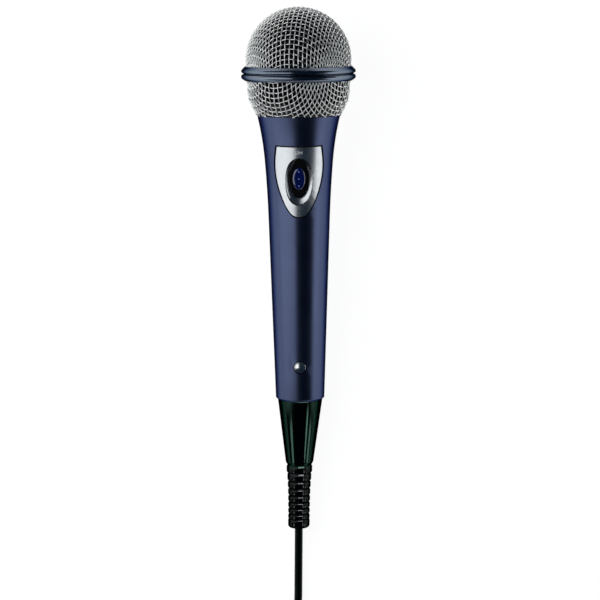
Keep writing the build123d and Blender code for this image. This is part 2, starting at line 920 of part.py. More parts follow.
print("lean", round(degrees(lean), 3), "tail", tail, "boot mouth", boot_mouth)
print("switch origin", switch_origin, "slide direction", switch_run)
print("toward head", toward_head, "collar", collar_start, "plug sleeve", plug_back.Y - sleeve_start)
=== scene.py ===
import json
import logging
import math
from dataclasses import dataclass, field
from enum import Enum
from typing import Sequence

import bmesh
import bpy
from mathutils import Matrix, Vector
from mathutils.bvhtree import BVHTree


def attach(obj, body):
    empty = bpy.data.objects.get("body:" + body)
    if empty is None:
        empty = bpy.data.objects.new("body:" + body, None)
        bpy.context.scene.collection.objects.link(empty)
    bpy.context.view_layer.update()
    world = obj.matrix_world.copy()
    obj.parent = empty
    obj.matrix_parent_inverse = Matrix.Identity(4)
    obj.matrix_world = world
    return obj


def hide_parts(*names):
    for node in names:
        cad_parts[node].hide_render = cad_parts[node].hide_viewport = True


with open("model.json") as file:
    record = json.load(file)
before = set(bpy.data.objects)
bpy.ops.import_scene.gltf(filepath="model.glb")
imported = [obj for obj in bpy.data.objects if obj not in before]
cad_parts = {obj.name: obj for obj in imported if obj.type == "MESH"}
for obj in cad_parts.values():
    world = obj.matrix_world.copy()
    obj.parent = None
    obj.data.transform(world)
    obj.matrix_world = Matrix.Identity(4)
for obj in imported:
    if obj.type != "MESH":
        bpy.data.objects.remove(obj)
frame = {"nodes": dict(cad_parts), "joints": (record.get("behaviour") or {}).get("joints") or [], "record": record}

LOG = logging.getLogger("karaoke_microphone")
MM = 0.001
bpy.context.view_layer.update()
POLE_RADIUS = 1e-6

Colour = tuple[float, float, float]
Profile = Sequence[tuple[float, float]]


class Body(Enum):
    """The rigid bodies that pieces ride on."""

    HANDLE = "handle"
    HEAD = "grille_head"
    SLIDER = "switch_slider"


# ---- Places -------------------------------------------------------------------------------


@dataclass(frozen=True)
class TurningAxis:
    """An axis that round pieces are turned about, with places given in millimetres.

    Attributes:
        start: the point that distances along the axis are measured from, in metres.
        forward: the unit direction of growing distance.
        up: a unit direction square to the axis, where angle zero is.
    """

    start: Vector
    forward: Vector
    up: Vector

    @property
    def side(self) -> Vector:
        """The unit direction to the right of up when looking forward."""
        return self.forward.cross(self.up)

    def place(self, along: float, side: float = 0.0, height: float = 0.0) -> Vector:
        """Find the point that lies along, beside and above the axis.

        Args:
            along: distance from the start, in millimetres.
            side: distance to the right, in millimetres.
            height: distance upward, in millimetres.

        Returns:
            The point in metres.
        """
        return self.start + (self.forward * along + self.side * side + self.up * height) * MM

    def around(self, along: float, radius: float, angle: float) -> Vector:
        """Find the point at a radius and an angle about the axis, angle zero being up."""
        return self.place(along, radius * math.sin(angle), radius * math.cos(angle))


def microphone_axis() -> TurningAxis:
    """Read the microphone's own axis from the head's joint and the clip's mount.

    Returns:
        The axis, starting at the tail's end and pointing toward the head.
    """
    clip_along = 45.0
    joint = next(joint for joint in frame["joints"] if joint["name"] == "head_off")
    clip = next(mount for mount in frame["record"]["mounts"] if mount["name"] == "clip_grip")
    forward = Vector(joint["axis"]).normalized()
    up = Vector((0.0, -forward.z, forward.y))
    return TurningAxis(Vector(clip["pos_m"]) - forward * clip_along * MM, forward, up)


MICROPHONE = microphone_axis()


@dataclass(frozen=True)
class SwitchPlace:
    """The flat frame of the thumb switch, centred under the knob.

    Attributes:
        centre: the middle of the knob's base, in metres.
        run: the unit direction that the slide moves along, toward the head.
        normal: the unit direction out of the switch.
    """

    centre: Vector
    run: Vector
    normal: Vector

    def place(self, side: float, reach: float, height: float) -> Vector:
        """Find the point beside, ahead of and above the knob's base, given in millimetres."""
        offset = Vector((side, 0.0, 0.0)) + self.run * reach + self.normal * height
        return self.centre + offset * MM


def switch_place() -> SwitchPlace:
    """Read the switch's frame from its joint and from the knob's CAD node."""
    joint = next(joint for joint in frame["joints"] if joint["name"] == "switch_slide")
    run = Vector(joint["axis"]).normalized()
    normal = Vector((0.0, -run.z, run.y))
    corners = [vertex.co for vertex in frame["nodes"]["thumb_knob"].data.vertices]
    reaches = [corner.dot(run) for corner in corners]
    base = min(corner.dot(normal) for corner in corners)
    return SwitchPlace(run * (min(reaches) + max(reaches)) / 2 + normal * base, run, normal)


SWITCH = switch_place()


# ---- Meshes -------------------------------------------------------------------------------


def add_object(name: str, mesh: bpy.types.Mesh) -> bpy.types.Object:
    """Put a mesh in the scene as an object at the origin."""
    piece = bpy.data.objects.new(name, mesh)
    bpy.context.scene.collection.objects.link(piece)
    return piece


def shade_by_angle(mesh: bpy.types.Mesh, limit: float) -> None:
    """Shade a mesh smooth, apart from edges that turn by more than the limit.

    Args:
        mesh: the mesh, with its doubles merged.
        limit: the angle in degrees.
    """
    shape = bmesh.new()
    shape.from_mesh(mesh)
    for face in shape.faces:
        face.smooth = True
    for edge in shape.edges:
        turn = edge.calc_face_angle(0.0)
        edge.smooth = len(edge.link_faces) == 2 and turn < math.radians(limit)
    shape.to_mesh(mesh)
    shape.free()


def add_shape(name: str, shape: bmesh.types.BMesh, limit: float) -> bpy.types.Object:
    """Keep an edited shape as a smooth-shaded piece, and free it.

    Args:
        name: the new piece's name.
        shape: the edited shape.
        limit: the angle in degrees past which an edge stays sharp.

    Returns:
        The new piece.
    """
    mesh = bpy.data.meshes.new(name)
    shape.to_mesh(mesh)
    shape.free()
    shade_by_angle(mesh, limit)
    return add_object(name, mesh)


def smooth_copy(node: str, name: str, limit: float = 32.0) -> bpy.types.Object:
    """Copy a CAD node's mesh, merge its loose triangles and shade it smooth.

    Args:
        node: the CAD node's name.
        name: the new piece's name.
        limit: the angle in degrees past which an edge stays sharp.

    Returns:
        The new piece, in the node's place.
    """
    shape = bmesh.new()
    shape.from_mesh(frame["nodes"][node].data)
    bmesh.ops.remove_doubles(shape, verts=shape.verts, dist=1e-6)
    bmesh.ops.dissolve_degenerate(shape, edges=shape.edges, dist=1e-7)
    return add_shape(name, shape, limit)


def surface_of(piece: bpy.types.Object) -> BVHTree:
    """Make a piece's surface ready to cast rays on."""
    mesh = piece.data
    return BVHTree.FromPolygons([vertex.co for vertex in mesh.vertices],
                                [polygon.vertices for polygon in mesh.polygons])


def rounded(corners: Profile, radii: Sequence[float],
            steps: int = 6) -> list[tuple[float, float]]:
    """Round the corners of an open outline with arcs.

    Args:
        corners: the outline's corners.
        radii: one radius for each corner, where zero leaves it sharp.
        steps: the spans in each arc.

    Returns:
        The rounded outline's points.
    """
    points: list[tuple[float, float]] = []
    for number, (corner, radius) in enumerate(zip(corners, radii)):
        if radius == 0.0 or number in (0, len(corners) - 1):
            points.append(corner)
            continue
        here = Vector(corner)
        back = (Vector(corners[number - 1]) - here).normalized()
        ahead = (Vector(corners[number + 1]) - here).normalized()
        half = back.angle(ahead) / 2
        centre = here + (back + ahead).normalized() * (radius / math.sin(half))
        first = here + back * (radius / math.tan(half)) - centre
        sweep = (math.pi - 2 * half) * (1 if back.cross(ahead) < 0 else -1)
        for step in range(steps + 1):
            turned = Matrix.Rotation(sweep * step / steps, 2) @ first
            points.append(tuple(centre + turned))
    return points


def skin(name: str, rings: Sequence[Sequence[Vector]], limit: float) -> bpy.types.Object:
    """Cover a row of rings of points into a closed piece.

    Args:
        name: the piece's name.
        rings: rings with the same number of points, where a ring of one point is a pole. A row
            that starts with a full ring has its last ring joined to its first.
        limit: the angle in degrees past which an edge stays sharp.

    Returns:
        The closed piece.
    """
    shape = bmesh.new()
    rows = [[shape.verts.new(place) for place in ring] for ring in rings]
    segments = max(len(row) for row in rows)
    closing = rows[:1] if len(rows[0]) > 1 else []
    for row, following in zip(rows, rows[1:] + closing):
        for step in range(segments):
            ahead = (step + 1) % segments
            corners = [row[step % len(row)], row[ahead % len(row)],
                       following[ahead % len(following)], following[step % len(following)]]
            shape.faces.new(list(dict.fromkeys(corners)))
    bmesh.ops.recalc_face_normals(shape, faces=shape.faces)
    return add_shape(name, shape, limit)


def lathe(name: str, profile: Profile, axis: TurningAxis, segments: int = 128,
          limit: float = 32.0) -> bpy.types.Object:
    """Turn an outline about an axis into a closed piece.

    Args:
        name: the piece's name.
        profile: (along, radius) points in millimetres. Where the outline starts and ends on the
            axis it closes there, and elsewhere its last point joins its first.
        axis: the axis to turn about.
        segments: the steps round the axis.
        limit: the angle in degrees past which an edge stays sharp.

    Returns:
        The turned piece.
    """
    turns = [2 * math.pi * step / segments for step in range(segments)]
    rings = [[axis.around(along, radius, turn)
              for turn in (turns if radius > POLE_RADIUS else turns[:1])]
             for along, radius in profile]
    return skin(name, rings, limit)


def evaluated_mesh(piece: bpy.types.Object) -> bpy.types.Mesh:
    """Make a plain mesh of a curve, a text or a piece with live modifiers.

    Args:
        piece: the piece, which stays as it is.

    Returns:
        Its final mesh.
    """
    bpy.context.view_layer.update()
    evaluated = piece.evaluated_get(bpy.context.evaluated_depsgraph_get())
    return bpy.data.meshes.new_from_object(evaluated)


def settle(piece: bpy.types.Object) -> bpy.types.Object:
    """Turn a piece with live modifiers into a plain mesh piece of the same name.

    Args:
        piece: the piece, which is removed.

    Returns:
        The plain piece.
    """
    mesh = evaluated_mesh(piece)
    name = piece.name
    materials = [slot.material for slot in piece.material_slots]
    bpy.data.objects.remove(piece)
    settled = add_object(name, mesh)
    if not mesh.materials:
        for material in materials:
            mesh.materials.append(material)
    return settled


# ---- Finishes -----------------------------------------------------------------------------


class NodeGraph:
    """A node tree being wired."""

    def __init__(self, tree: bpy.types.NodeTree) -> None:
        """Take the tree to add nodes to."""
        self.tree = tree

    def fill(self, node: bpy.types.Node, inputs: dict) -> None:
        """Set or feed a node's inputs.

        Args:
            node: the node.
            inputs: values, or outputs of other nodes, by the input's number or name, with
                underscores for spaces.
        """
        for name, value in inputs.items():
            target = node.inputs[name.replace("_", " ") if isinstance(name, str) else name]
            if isinstance(value, bpy.types.NodeSocket):
                self.tree.links.new(value, target)
            else:
                target.default_value = value

    def node(self, kind: str, *first: object, operation: str = "",
             **named: object) -> bpy.types.Node:
        """Add a node and set or feed its inputs.

        Args:
            kind: the node's type name.
            first: what goes into the first inputs, in order.
            operation: what a math node does.
            named: what goes into other inputs, by name.

        Returns:
            The node.
        """
        node = self.tree.nodes.new(kind)
        if operation:
            node.operation = operation
        self.fill(node, dict(enumerate(first)) | named)
        return node


class ShaderGraph(NodeGraph):
    """A material being wired, with its Principled shader at hand."""

    def __init__(self, name: str) -> None:
        """Make a new material with a Principled shader and an output."""
        self.material = bpy.data.materials.new(name)
        self.material.use_nodes = True
        super().__init__(self.material.node_tree)
        self.shader = self.tree.nodes["Principled BSDF"]

    def shade(self, **inputs: object) -> None:
        """Set or feed the Principled shader's own sockets."""
        self.fill(self.shader, inputs)

    def noise(self, scale: float, detail: float = 2.0) -> bpy.types.NodeSocket:
        """Add noise on Object coordinates.

        Args:
            scale: features per metre.
            detail: octaves.

        Returns:
            The noise's factor output.
        """
        place = self.node("ShaderNodeTexCoord").outputs["Object"]
        texture = self.node("ShaderNodeTexNoise", Vector=place, Scale=scale, Detail=detail)
        return texture.outputs[0]

    def spread(self, source: bpy.types.NodeSocket, low: float, high: float) -> bpy.types.NodeSocket:
        """Map a 0 to 1 value onto a range.

        Args:
            source: the value.
            low: the result at 0.3.
            high: the result at 0.7.

        Returns:
            The mapped value.
        """
        return self.node("ShaderNodeMapRange", source, 0.3, 0.7, low, high).outputs[0]

    def bump(self, height: bpy.types.NodeSocket, depth: float) -> None:
        """Raise the surface by a height map.

        Args:
            height: the 0 to 1 map.
            depth: the relief in metres.
        """
        bump = self.node("ShaderNodeBump", Height=height, Distance=depth, Strength=1.0)
        self.shade(Normal=bump.outputs["Normal"])

    def tint(self, factor: bpy.types.NodeSocket, dark: Colour, light: Colour) -> None:
        """Vary the base colour between two colours.

        Args:
            factor: 0 where the dark colour shows and 1 where the light one does.
            dark: the dark colour.
            light: the light colour.
        """
        mix = self.node("ShaderNodeMix")
        mix.data_type = "RGBA"
        self.fill(mix, {0: factor, 6: (*dark, 1.0), 7: (*light, 1.0)})
        self.shade(Base_Color=mix.outputs[2])


def shaded(colour: Colour, factor: float) -> Colour:
    """Darken or lighten a colour by a factor."""
    return tuple(channel * factor for channel in colour)


@dataclass(frozen=True)
class FlakePaint:
    """Metallic stoving paint: fine flake in a slate-blue base, with a little orange peel.

    Attributes:
        name: the material's name.
        dark: the base between the flakes.
        light: the flakes.
        shine: the least and the greatest roughness.
        edge: the colour of its gloss where it is seen along the surface.
    """

    name: str = "slate_flake_paint"
    dark: Colour = (0.063, 0.081, 0.154)
    light: Colour = (0.093, 0.114, 0.205)
    shine: tuple[float, float] = (0.27, 0.33)
    edge: Colour = (0.0, 0.004, 0.03)

    def make(self) -> bpy.types.Material:
        """Build the paint."""
        graph = ShaderGraph(self.name)
        graph.shade(Metallic=1.0, Specular_Tint=(*self.edge, 1.0),
                    Roughness=graph.spread(graph.noise(60.0), *self.shine))
        graph.tint(graph.noise(9000.0, 1.0), self.dark, self.light)
        graph.bump(graph.noise(1400.0, 1.0), 0.000004)
        return graph.material


@dataclass(frozen=True)
class Plating:
    """Plated or bare metal with a faint haze and fine handling marks.

    Attributes:
        name: the material's name.
        colour: the metal's colour.
        shine: the least and the greatest roughness.
        grain: the marks' features per metre.
        relief: the marks' depth in metres.
    """

    name: str
    colour: Colour = (0.86, 0.88, 0.89)
    shine: tuple[float, float] = (0.10, 0.16)
    grain: float = 250.0
    relief: float = 0.0000015

    def make(self) -> bpy.types.Material:
        """Build the metal."""
        graph = ShaderGraph(self.name)
        graph.shade(Metallic=1.0, Roughness=graph.spread(graph.noise(self.grain, 4.0), *self.shine))
        pale = tuple(min(1.0, channel * 1.04) for channel in self.colour)
        graph.tint(graph.noise(self.grain * 0.3), shaded(self.colour, 0.95), pale)
        graph.bump(graph.noise(self.grain * 3.0, 3.0), self.relief)
        return graph.material


@dataclass(frozen=True)
class Moulding:
    """Moulded plastic or rubber, from glossy to matte, with the mould's fine texture.

    Attributes:
        name: the material's name.
        colour: the plastic's colour.
        shine: the least and the greatest roughness.
        specular: the strength of its gloss.
        grain: the texture's features per metre.
        relief: the texture's depth in metres.
        cast: the colour of its gloss where it is seen along the surface.
        lacquer: how much its gloss takes the plastic's own colour, from 0 to 1.
    """

    name: str
    colour: Colour
    shine: tuple[float, float] = (0.25, 0.35)
    specular: float = 0.5
    grain: float = 900.0
    relief: float = 0.000004
    cast: Colour = (1.0, 1.0, 1.0)
    lacquer: float = 0.0

    def make(self) -> bpy.types.Material:
        """Build the moulded material."""
        graph = ShaderGraph(self.name)
        graph.shade(Specular_IOR_Level=self.specular, Specular_Tint=(*self.cast, 1.0),
                    Metallic=self.lacquer,
                    Roughness=graph.spread(graph.noise(self.grain * 0.5), *self.shine))
        graph.tint(graph.noise(self.grain * 0.2), shaded(self.colour, 0.8),
                   shaded(self.colour, 1.2))
        graph.bump(graph.noise(self.grain, 3.0), self.relief)
        return graph.material


@dataclass(frozen=True)
class OpenFoam:
    """Black open-cell foam with small round cells, their pits painted darker as shade.

    Attributes:
        name: the material's name.
        colour: the foam's colour.
        cell: the cells' number per metre.
    """

    name: str
    colour: Colour = (0.008, 0.008, 0.009)
    cell: float = 1600.0

    def make(self) -> bpy.types.Material:
        """Build the foam."""
        graph = ShaderGraph(self.name)
        graph.shade(Roughness=0.95, Specular_IOR_Level=0.15)
        place = graph.node("ShaderNodeTexCoord").outputs["Object"]
        texture = graph.node("ShaderNodeTexVoronoi", Vector=place, Scale=self.cell)
        cells = texture.outputs["Distance"]
        # The pits of the cells are painted darker than the cell walls: painted shade in the pores, where the bump
        # sinks.
        graph.tint(cells, shaded(self.colour, 0.3), self.colour)
        graph.bump(cells, 0.0003)
        return graph.material


@dataclass(frozen=True)
class ClearButton:
    """A clear blue plastic button over a deep blue core.

    Attributes:
        name: the material's name.
        dark: the core's deeper blue.
        light: the core's lighter blue.
    """

    name: str = "clear_blue_button"
    dark: Colour = (0.001, 0.004, 0.075)
    light: Colour = (0.002, 0.010, 0.17)

    def make(self) -> bpy.types.Material:
        """Build the button's plastic."""
        graph = ShaderGraph(self.name)
        graph.shade(Roughness=0.12, Coat_Weight=1.0, Coat_Roughness=0.04, Coat_IOR=1.9,
                    Transmission_Weight=0.05, IOR=1.49)
        graph.tint(graph.noise(400.0), self.dark, self.light)
        graph.bump(graph.noise(900.0, 2.0), 0.000006)
        return graph.material


class Palette:
    """Every finish of the microphone, made once and shared by its pieces."""

    def __init__(self) -> None:
        """Make the finishes."""
        gloss = {"specular": 0.5, "grain": 500.0, "relief": 0.0, "cast": (0.02, 0.02, 0.02),
                 "lacquer": 1.0}
        self.paint = FlakePaint().make()
        self.ring = FlakePaint("ring_flake_paint", (0.155, 0.185, 0.240), (0.220, 0.260, 0.325),
                               (0.19, 0.24)).make()
        self.chrome = Plating("plate_chrome", (0.64, 0.67, 0.69), (0.26, 0.32), 350.0,
                              0.000006).make()
        self.bright = Plating("screw_chrome", (0.78, 0.80, 0.79), (0.18, 0.24), 600.0,
                              0.000003).make()
        self.silver = Moulding("silver_ink", (0.86, 0.89, 0.90), (0.35, 0.45)).make()
        self.wire = Plating("nickel_wire", (0.87, 0.89, 0.88), (0.24, 0.32), 900.0,
                            0.000003).make()
        self.nickel = Plating("plug_nickel", (0.62, 0.61, 0.59), (0.16, 0.24)).make()
        self.steel = Plating("bare_steel", (0.60, 0.60, 0.62), (0.28, 0.38), 500.0,
                             0.000003).make()
        self.copper = Plating("enamelled_copper", (0.70, 0.33, 0.18), (0.25, 0.35), 900.0,
                              0.000004).make()
        self.brass = Plating("tinned_brass", (0.74, 0.64, 0.42), (0.25, 0.35)).make()
        self.boot = Moulding("boot_black", (0.013, 0.028, 0.022), (0.10, 0.13), **gloss).make()
        self.ribs = Moulding("rib_black", (0.018, 0.020, 0.020), (0.12, 0.15), **gloss).make()
        self.jacket = Moulding("cord_black", (0.0015, 0.0020, 0.0020), (0.30, 0.38), 0.12, 700.0,
                               cast=(0.55, 1.0, 0.90)).make()
        self.satin = Moulding("satin_black", (0.010, 0.010, 0.012), (0.40, 0.50), 0.4).make()
        self.slide = Moulding("slide_black", (0.0015, 0.0015, 0.0020), (0.30, 0.38), 0.2).make()
        self.grey = Moulding("grey_plastic", (0.30, 0.30, 0.30), (0.40, 0.50)).make()
        self.film = Moulding("clear_film", (0.62, 0.60, 0.55), (0.12, 0.20), 0.6).make()
        self.red = Moulding("red_lead", (0.38, 0.05, 0.04), (0.35, 0.45)).make()
        self.button = ClearButton().make()
        self.pip = Moulding("pale_blue_pip", (0.30, 0.36, 0.80), (0.12, 0.20)).make()
        self.foam = OpenFoam("grille_foam").make()


def dress(piece: bpy.types.Object, finish: bpy.types.Material, body: Body, slot: str,
          *nodes: str) -> bpy.types.Object:
    """Give a finished piece its material, body and the CAD nodes that it stands for.

    Args:
        piece: the finished piece, in its place.
        finish: its material.
        body: the body that it rides on.
        slot: the record's material slot; not used.
        nodes: the CAD nodes that it replaces.

    Returns:
        The same piece.
    """
    piece.data.materials.clear()
    piece.data.materials.append(finish)
    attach(piece, body.value)
    if nodes:
        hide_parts(*nodes)
    LOG.info("%s rides on %s", piece.name, body.value)
    return piece


def coat_node(node: str, finish: bpy.types.Material) -> None:
    """Give a CAD node that stays in view a better material.

    Args:
        node: the CAD node's name.
        finish: its material.
    """
    mesh = frame["nodes"][node].data
    mesh.materials.clear()
    mesh.materials.append(finish)
    LOG.info("%s keeps its CAD shape", node)


# ---- Studio -------------------------------------------------------------------------------


@dataclass(frozen=True)
class SoftBox:
    """A rectangular soft light that runs along the microphone and faces its axis.

    Attributes:
        name: the light's name.
        lateral: its middle's angle from straight up, in degrees to the right.
        half_span: half the angle that it fills, in degrees.
        distance: its distance from the axis, in metres.
        reach: its ends along the microphone, in metres.
        radiance: its brightness, where a white surface shows as 1.
        only: the one piece that it is flagged to light, or nothing where it lights them all.
        axis_height: the height of the axis that it faces, in metres.
    """

    name: str
    lateral: float
    half_span: float
    distance: float
    reach: tuple[float, float]
    radiance: float
    only: str = ""
    axis_height: float = 0.035

    def build(self) -> None:
        """Hang the light."""
        low, high = self.reach
        data = bpy.data.lights.new(self.name, "AREA")
        data.shape = "RECTANGLE"
        data.size = 2 * self.distance * math.tan(math.radians(self.half_span))
        data.size_y = high - low
        data.energy = self.radiance * math.pi * data.size * data.size_y
        light = bpy.data.objects.new(self.name, data)
        bpy.context.scene.collection.objects.link(light)
        angle = math.radians(self.lateral)
        away = Vector((math.sin(angle), 0.0, math.cos(angle)))
        along = Vector((0.0, 1.0, 0.0))
        turned = Matrix((along.cross(away), along, away)).transposed().to_4x4()
        centre = Vector((0.0, (low + high) / 2, self.axis_height)) + away * self.distance
        light.matrix_world = Matrix.Translation(centre) @ turned
        light.visible_camera = False

    def flag(self) -> None:
        """Keep the light off every piece but its own, where it has one."""
        if self.only:
            lit = bpy.data.collections.new(f"{self.name}_target")
            lit.objects.link(bpy.data.objects[self.only])
            bpy.data.objects[self.name].light_linking.receiver_collection = lit


@dataclass
class Studio:
    """The camera, the pale floor, the dim surroundings and the soft boxes.

    Attributes:
        camera_place: where the camera is, in metres.
        camera_target: the point that it looks at, in metres.
        roll: its turn about its own view, in degrees.
        lens: its focal length in millimetres.
        floor_radius: where the floor ends, in metres.
        floor_sink: how far the floor lies under what stands on it, in metres.
        wall_height: the height that the floor curves up to at its far edge, in metres.
        wall_curl: the curve's radius, as a share of that height.
        floor_grey: the floor's own colour, where the soft shadow shows.
        floor_glow: its brightness as a background.
        surround_colour: the colour of the dim room.
        surround: the brightness of the dim room.
        boxes: the soft boxes.
    """

    camera_place: Vector = field(default_factory=lambda: Vector((0.00018, 0.0217, 1.270)))
    camera_target: Vector = field(default_factory=lambda: Vector((0.00018, -0.0145, 0.0169)))
    roll: float = -0.30
    lens: float = 152.7
    floor_radius: float = 5.0
    floor_sink: float = 0.00005
    wall_height: float = 0.35
    wall_curl: float = 0.8
    floor_grey: float = 0.25
    floor_glow: float = 0.94
    surround_colour: Colour = (0.20, 0.53, 1.0)
    surround: float = 0.03
    boxes: tuple[SoftBox, ...] = (
        SoftBox("left_box", -50.0, 35.0, 0.45, (-0.225, 0.36), 1.25),
        SoftBox("right_box", 72.5, 14.0, 0.45, (-0.225, 0.20), 1.25),
        SoftBox("left_boot_strip", -60.0, 7.5, 0.50, (-0.40, -0.275), 4.0, "ribbed_boot"),
        SoftBox("right_boot_strip", 47.0, 3.8, 0.50, (-0.40, -0.275), 6.5, "ribbed_boot"),
        SoftBox("far_boot_strip", 74.0, 6.5, 0.50, (-0.40, -0.275), 4.2, "ribbed_boot"),
        SoftBox("rib_strip", 17.0, 30.0, 0.45, (0.06, 0.34), 24.0, "ribbed_boot"),
    )

    def build(self) -> None:
        """Set the whole studio."""
        self.camera()
        self.floor()
        self.surroundings()
        for box in self.boxes:
            box.build()
        bpy.context.scene.view_settings.view_transform = "Standard"

    def camera(self) -> None:
        """Look down on the microphone from above, with its head at the top of the frame."""
        data = bpy.data.cameras.new("camera")
        data.lens = self.lens
        data.clip_start = 0.05
        camera = bpy.data.objects.new("camera", data)
        bpy.context.scene.collection.objects.link(camera)
        away = (self.camera_place - self.camera_target).normalized()
        right = Vector((0.0, 1.0, 0.0)).cross(away).normalized()
        turned = Matrix((right, away.cross(right), away)).transposed().to_4x4()
        rolled = Matrix.Rotation(math.radians(self.roll), 4, "Z")
        camera.matrix_world = Matrix.Translation(self.camera_place) @ turned @ rolled
        bpy.context.scene.camera = camera

    def floor(self) -> None:
        """Lay a plain white floor that curves up far away and keeps the object's soft shadow."""
        radius, wall = self.floor_radius / MM, self.wall_height / MM
        upright = TurningAxis(Vector((0.0, 0.0, -self.floor_sink)), Vector((0.0, 0.0, 1.0)),
                              Vector((0.0, 1.0, 0.0)))
        corners = [(0.0, 0.0), (0.0, radius), (wall, radius)]
        floor = lathe("floor", rounded(corners, [0.0, self.wall_curl * wall, 0.0]), upright)
        graph = ShaderGraph("floor_white")
        rays = graph.node("ShaderNodeLightPath").outputs
        seen = rays["Is Camera Ray"]
        for ray in ("Is Glossy Ray", "Is Transmission Ray"):
            seen = graph.node("ShaderNodeMath", seen, rays[ray], operation="MAXIMUM").outputs[0]
        glow = graph.node("ShaderNodeMath", seen, self.floor_glow, operation="MULTIPLY")
        graph.shade(Base_Color=(*[self.floor_grey] * 3, 1.0), Roughness=0.9,
                    Specular_IOR_Level=0.1, Emission_Color=(1.0, 1.0, 1.0, 1.0),
                    Emission_Strength=glow.outputs[0])
        floor.data.materials.append(graph.material)

    def surroundings(self) -> None:
        """Surround the scene with a dim room, so that gloss stays dark between the lights."""
        world = bpy.data.worlds.new("surroundings")
        world.use_nodes = True
        bpy.context.scene.world = world
        backdrop = world.node_tree.nodes["Background"]
        backdrop.inputs["Color"].default_value = (*self.surround_colour, 1.0)
        backdrop.inputs["Strength"].default_value = self.surround


# ---- Cord and plug ------------------------------------------------------------------------


@dataclass
class Cord:
    """The free cord: out of the boot, along the table into a neat coil, and on to its plug.

    Attributes:
        diameter: the cord's diameter in millimetres.
        exit_along: where it leaves the boot, along the microphone.
        exit_side: how far the boot leans to the left there.
        straight_along: the end of its straight stretch.
        straight_side: how far that lies to the left.
        turn_radius: the coil's middle radius.
        columns: the turns side by side in the coil.
        layers: the turns above each other.
        coil_centre: the coil's middle on the table, in millimetres.
        coil_base: the height of the coil's underside.
        points_per_turn: the spline's points in each turn.
    """

    diameter: float = 4.0
    exit_along: float = -65.0
    exit_side: float = 1.0
    straight_along: float = -87.0
    straight_side: float = 1.3
    turn_radius: float = 22.0
    columns: int = 4
    layers: int = 5
    coil_centre: Vector = field(default_factory=lambda: Vector((18.7, -202.3, 0.0)))
    coil_base: float = 0.6
    points_per_turn: int = 12

    def route(self) -> list[Vector]:
        """List the cord's points in metres, from the boot's mouth to the plug.

        Returns:
            The control points of the cord's spline.
        """
        lead_in = [
            MICROPHONE.place(self.exit_along, -self.exit_side) / MM,
            MICROPHONE.place(self.straight_along, -self.straight_side) / MM,
            Vector((-1.5, -173.0, 2.15)),
            Vector((-8.0, -194.0, 2.3)),
        ]
        lead_out = [
            Vector((-9.3, -203.0, 2.7)),
            Vector((-9.3, -214.5, 3.0)),
            Vector((-9.6, -227.0, 6.2)),
            Vector((-9.6, -239.0, 6.2)),
        ]
        return [point * MM for point in lead_in + self.coil() + lead_out]

    def coil(self) -> list[Vector]:
        """Wind the coil's turns in columns, from the outer one inward and back, layer by layer.

        Returns:
            The coil's points in millimetres.
        """
        points: list[Vector] = []
        turns = self.columns * self.layers
        total = turns * self.points_per_turn
        for number in range(1, total):
            turn = number / self.points_per_turn
            layer, share = divmod(min(turn, turns - 1e-6), self.columns)
            column = share if layer % 2 == 0 else self.columns - share
            inset = min(max(column - 0.5, 0.0), self.columns - 1.0)
            radius = self.turn_radius + ((self.columns - 1) / 2 - inset) * self.diameter
            height = self.coil_base + self.diameter * (0.5 + layer)
            angle = math.pi + 2 * math.pi * turn
            offset = Vector((math.cos(angle), math.sin(angle), 0.0)) * radius
            points.append(self.coil_centre + offset + Vector((0.0, 0.0, height)))
        return points

    def build(self, palette: Palette) -> None:
        """Args:
            palette: the finishes.
        """
        curve = bpy.data.curves.new("cord", "CURVE")
        curve.dimensions = "3D"
        curve.bevel_depth = self.diameter / 2 * MM
        curve.bevel_resolution = 4
        curve.resolution_u = 6
        curve.use_fill_caps = True
        spline = curve.splines.new("NURBS")
        route = self.route()
        spline.points.add(len(route) - 1)
        for point, place in zip(spline.points, route):
            point.co = (*place, 1.0)
        spline.order_u = 3
        spline.use_endpoint_u = True
        piece = bpy.data.objects.new("cord", curve)
        bpy.context.scene.collection.objects.link(piece)
        dress(piece, palette.jacket, Body.HANDLE, "cord_jacket",
              "cord_tube", "cord_coil", "cord_tail")
        length = spline_length(piece)
        LOG.info("cord length %.3f m", length)


def spline_length(piece: bpy.types.Object) -> float:
    """Measure the centreline of a curve piece.

    Args:
        piece: the curve piece.

    Returns:
        The length in metres.
    """
    line = piece.copy()
    line.data = piece.data.copy()
    line.data.bevel_depth = 0.0
    bpy.context.scene.collection.objects.link(line)
    places = [vertex.co for vertex in evaluated_mesh(line).vertices]
    bpy.data.objects.remove(line)
    return sum((after - before).length for before, after in zip(places, places[1:]))


# ---- Woven grille -------------------------------------------------------------------------


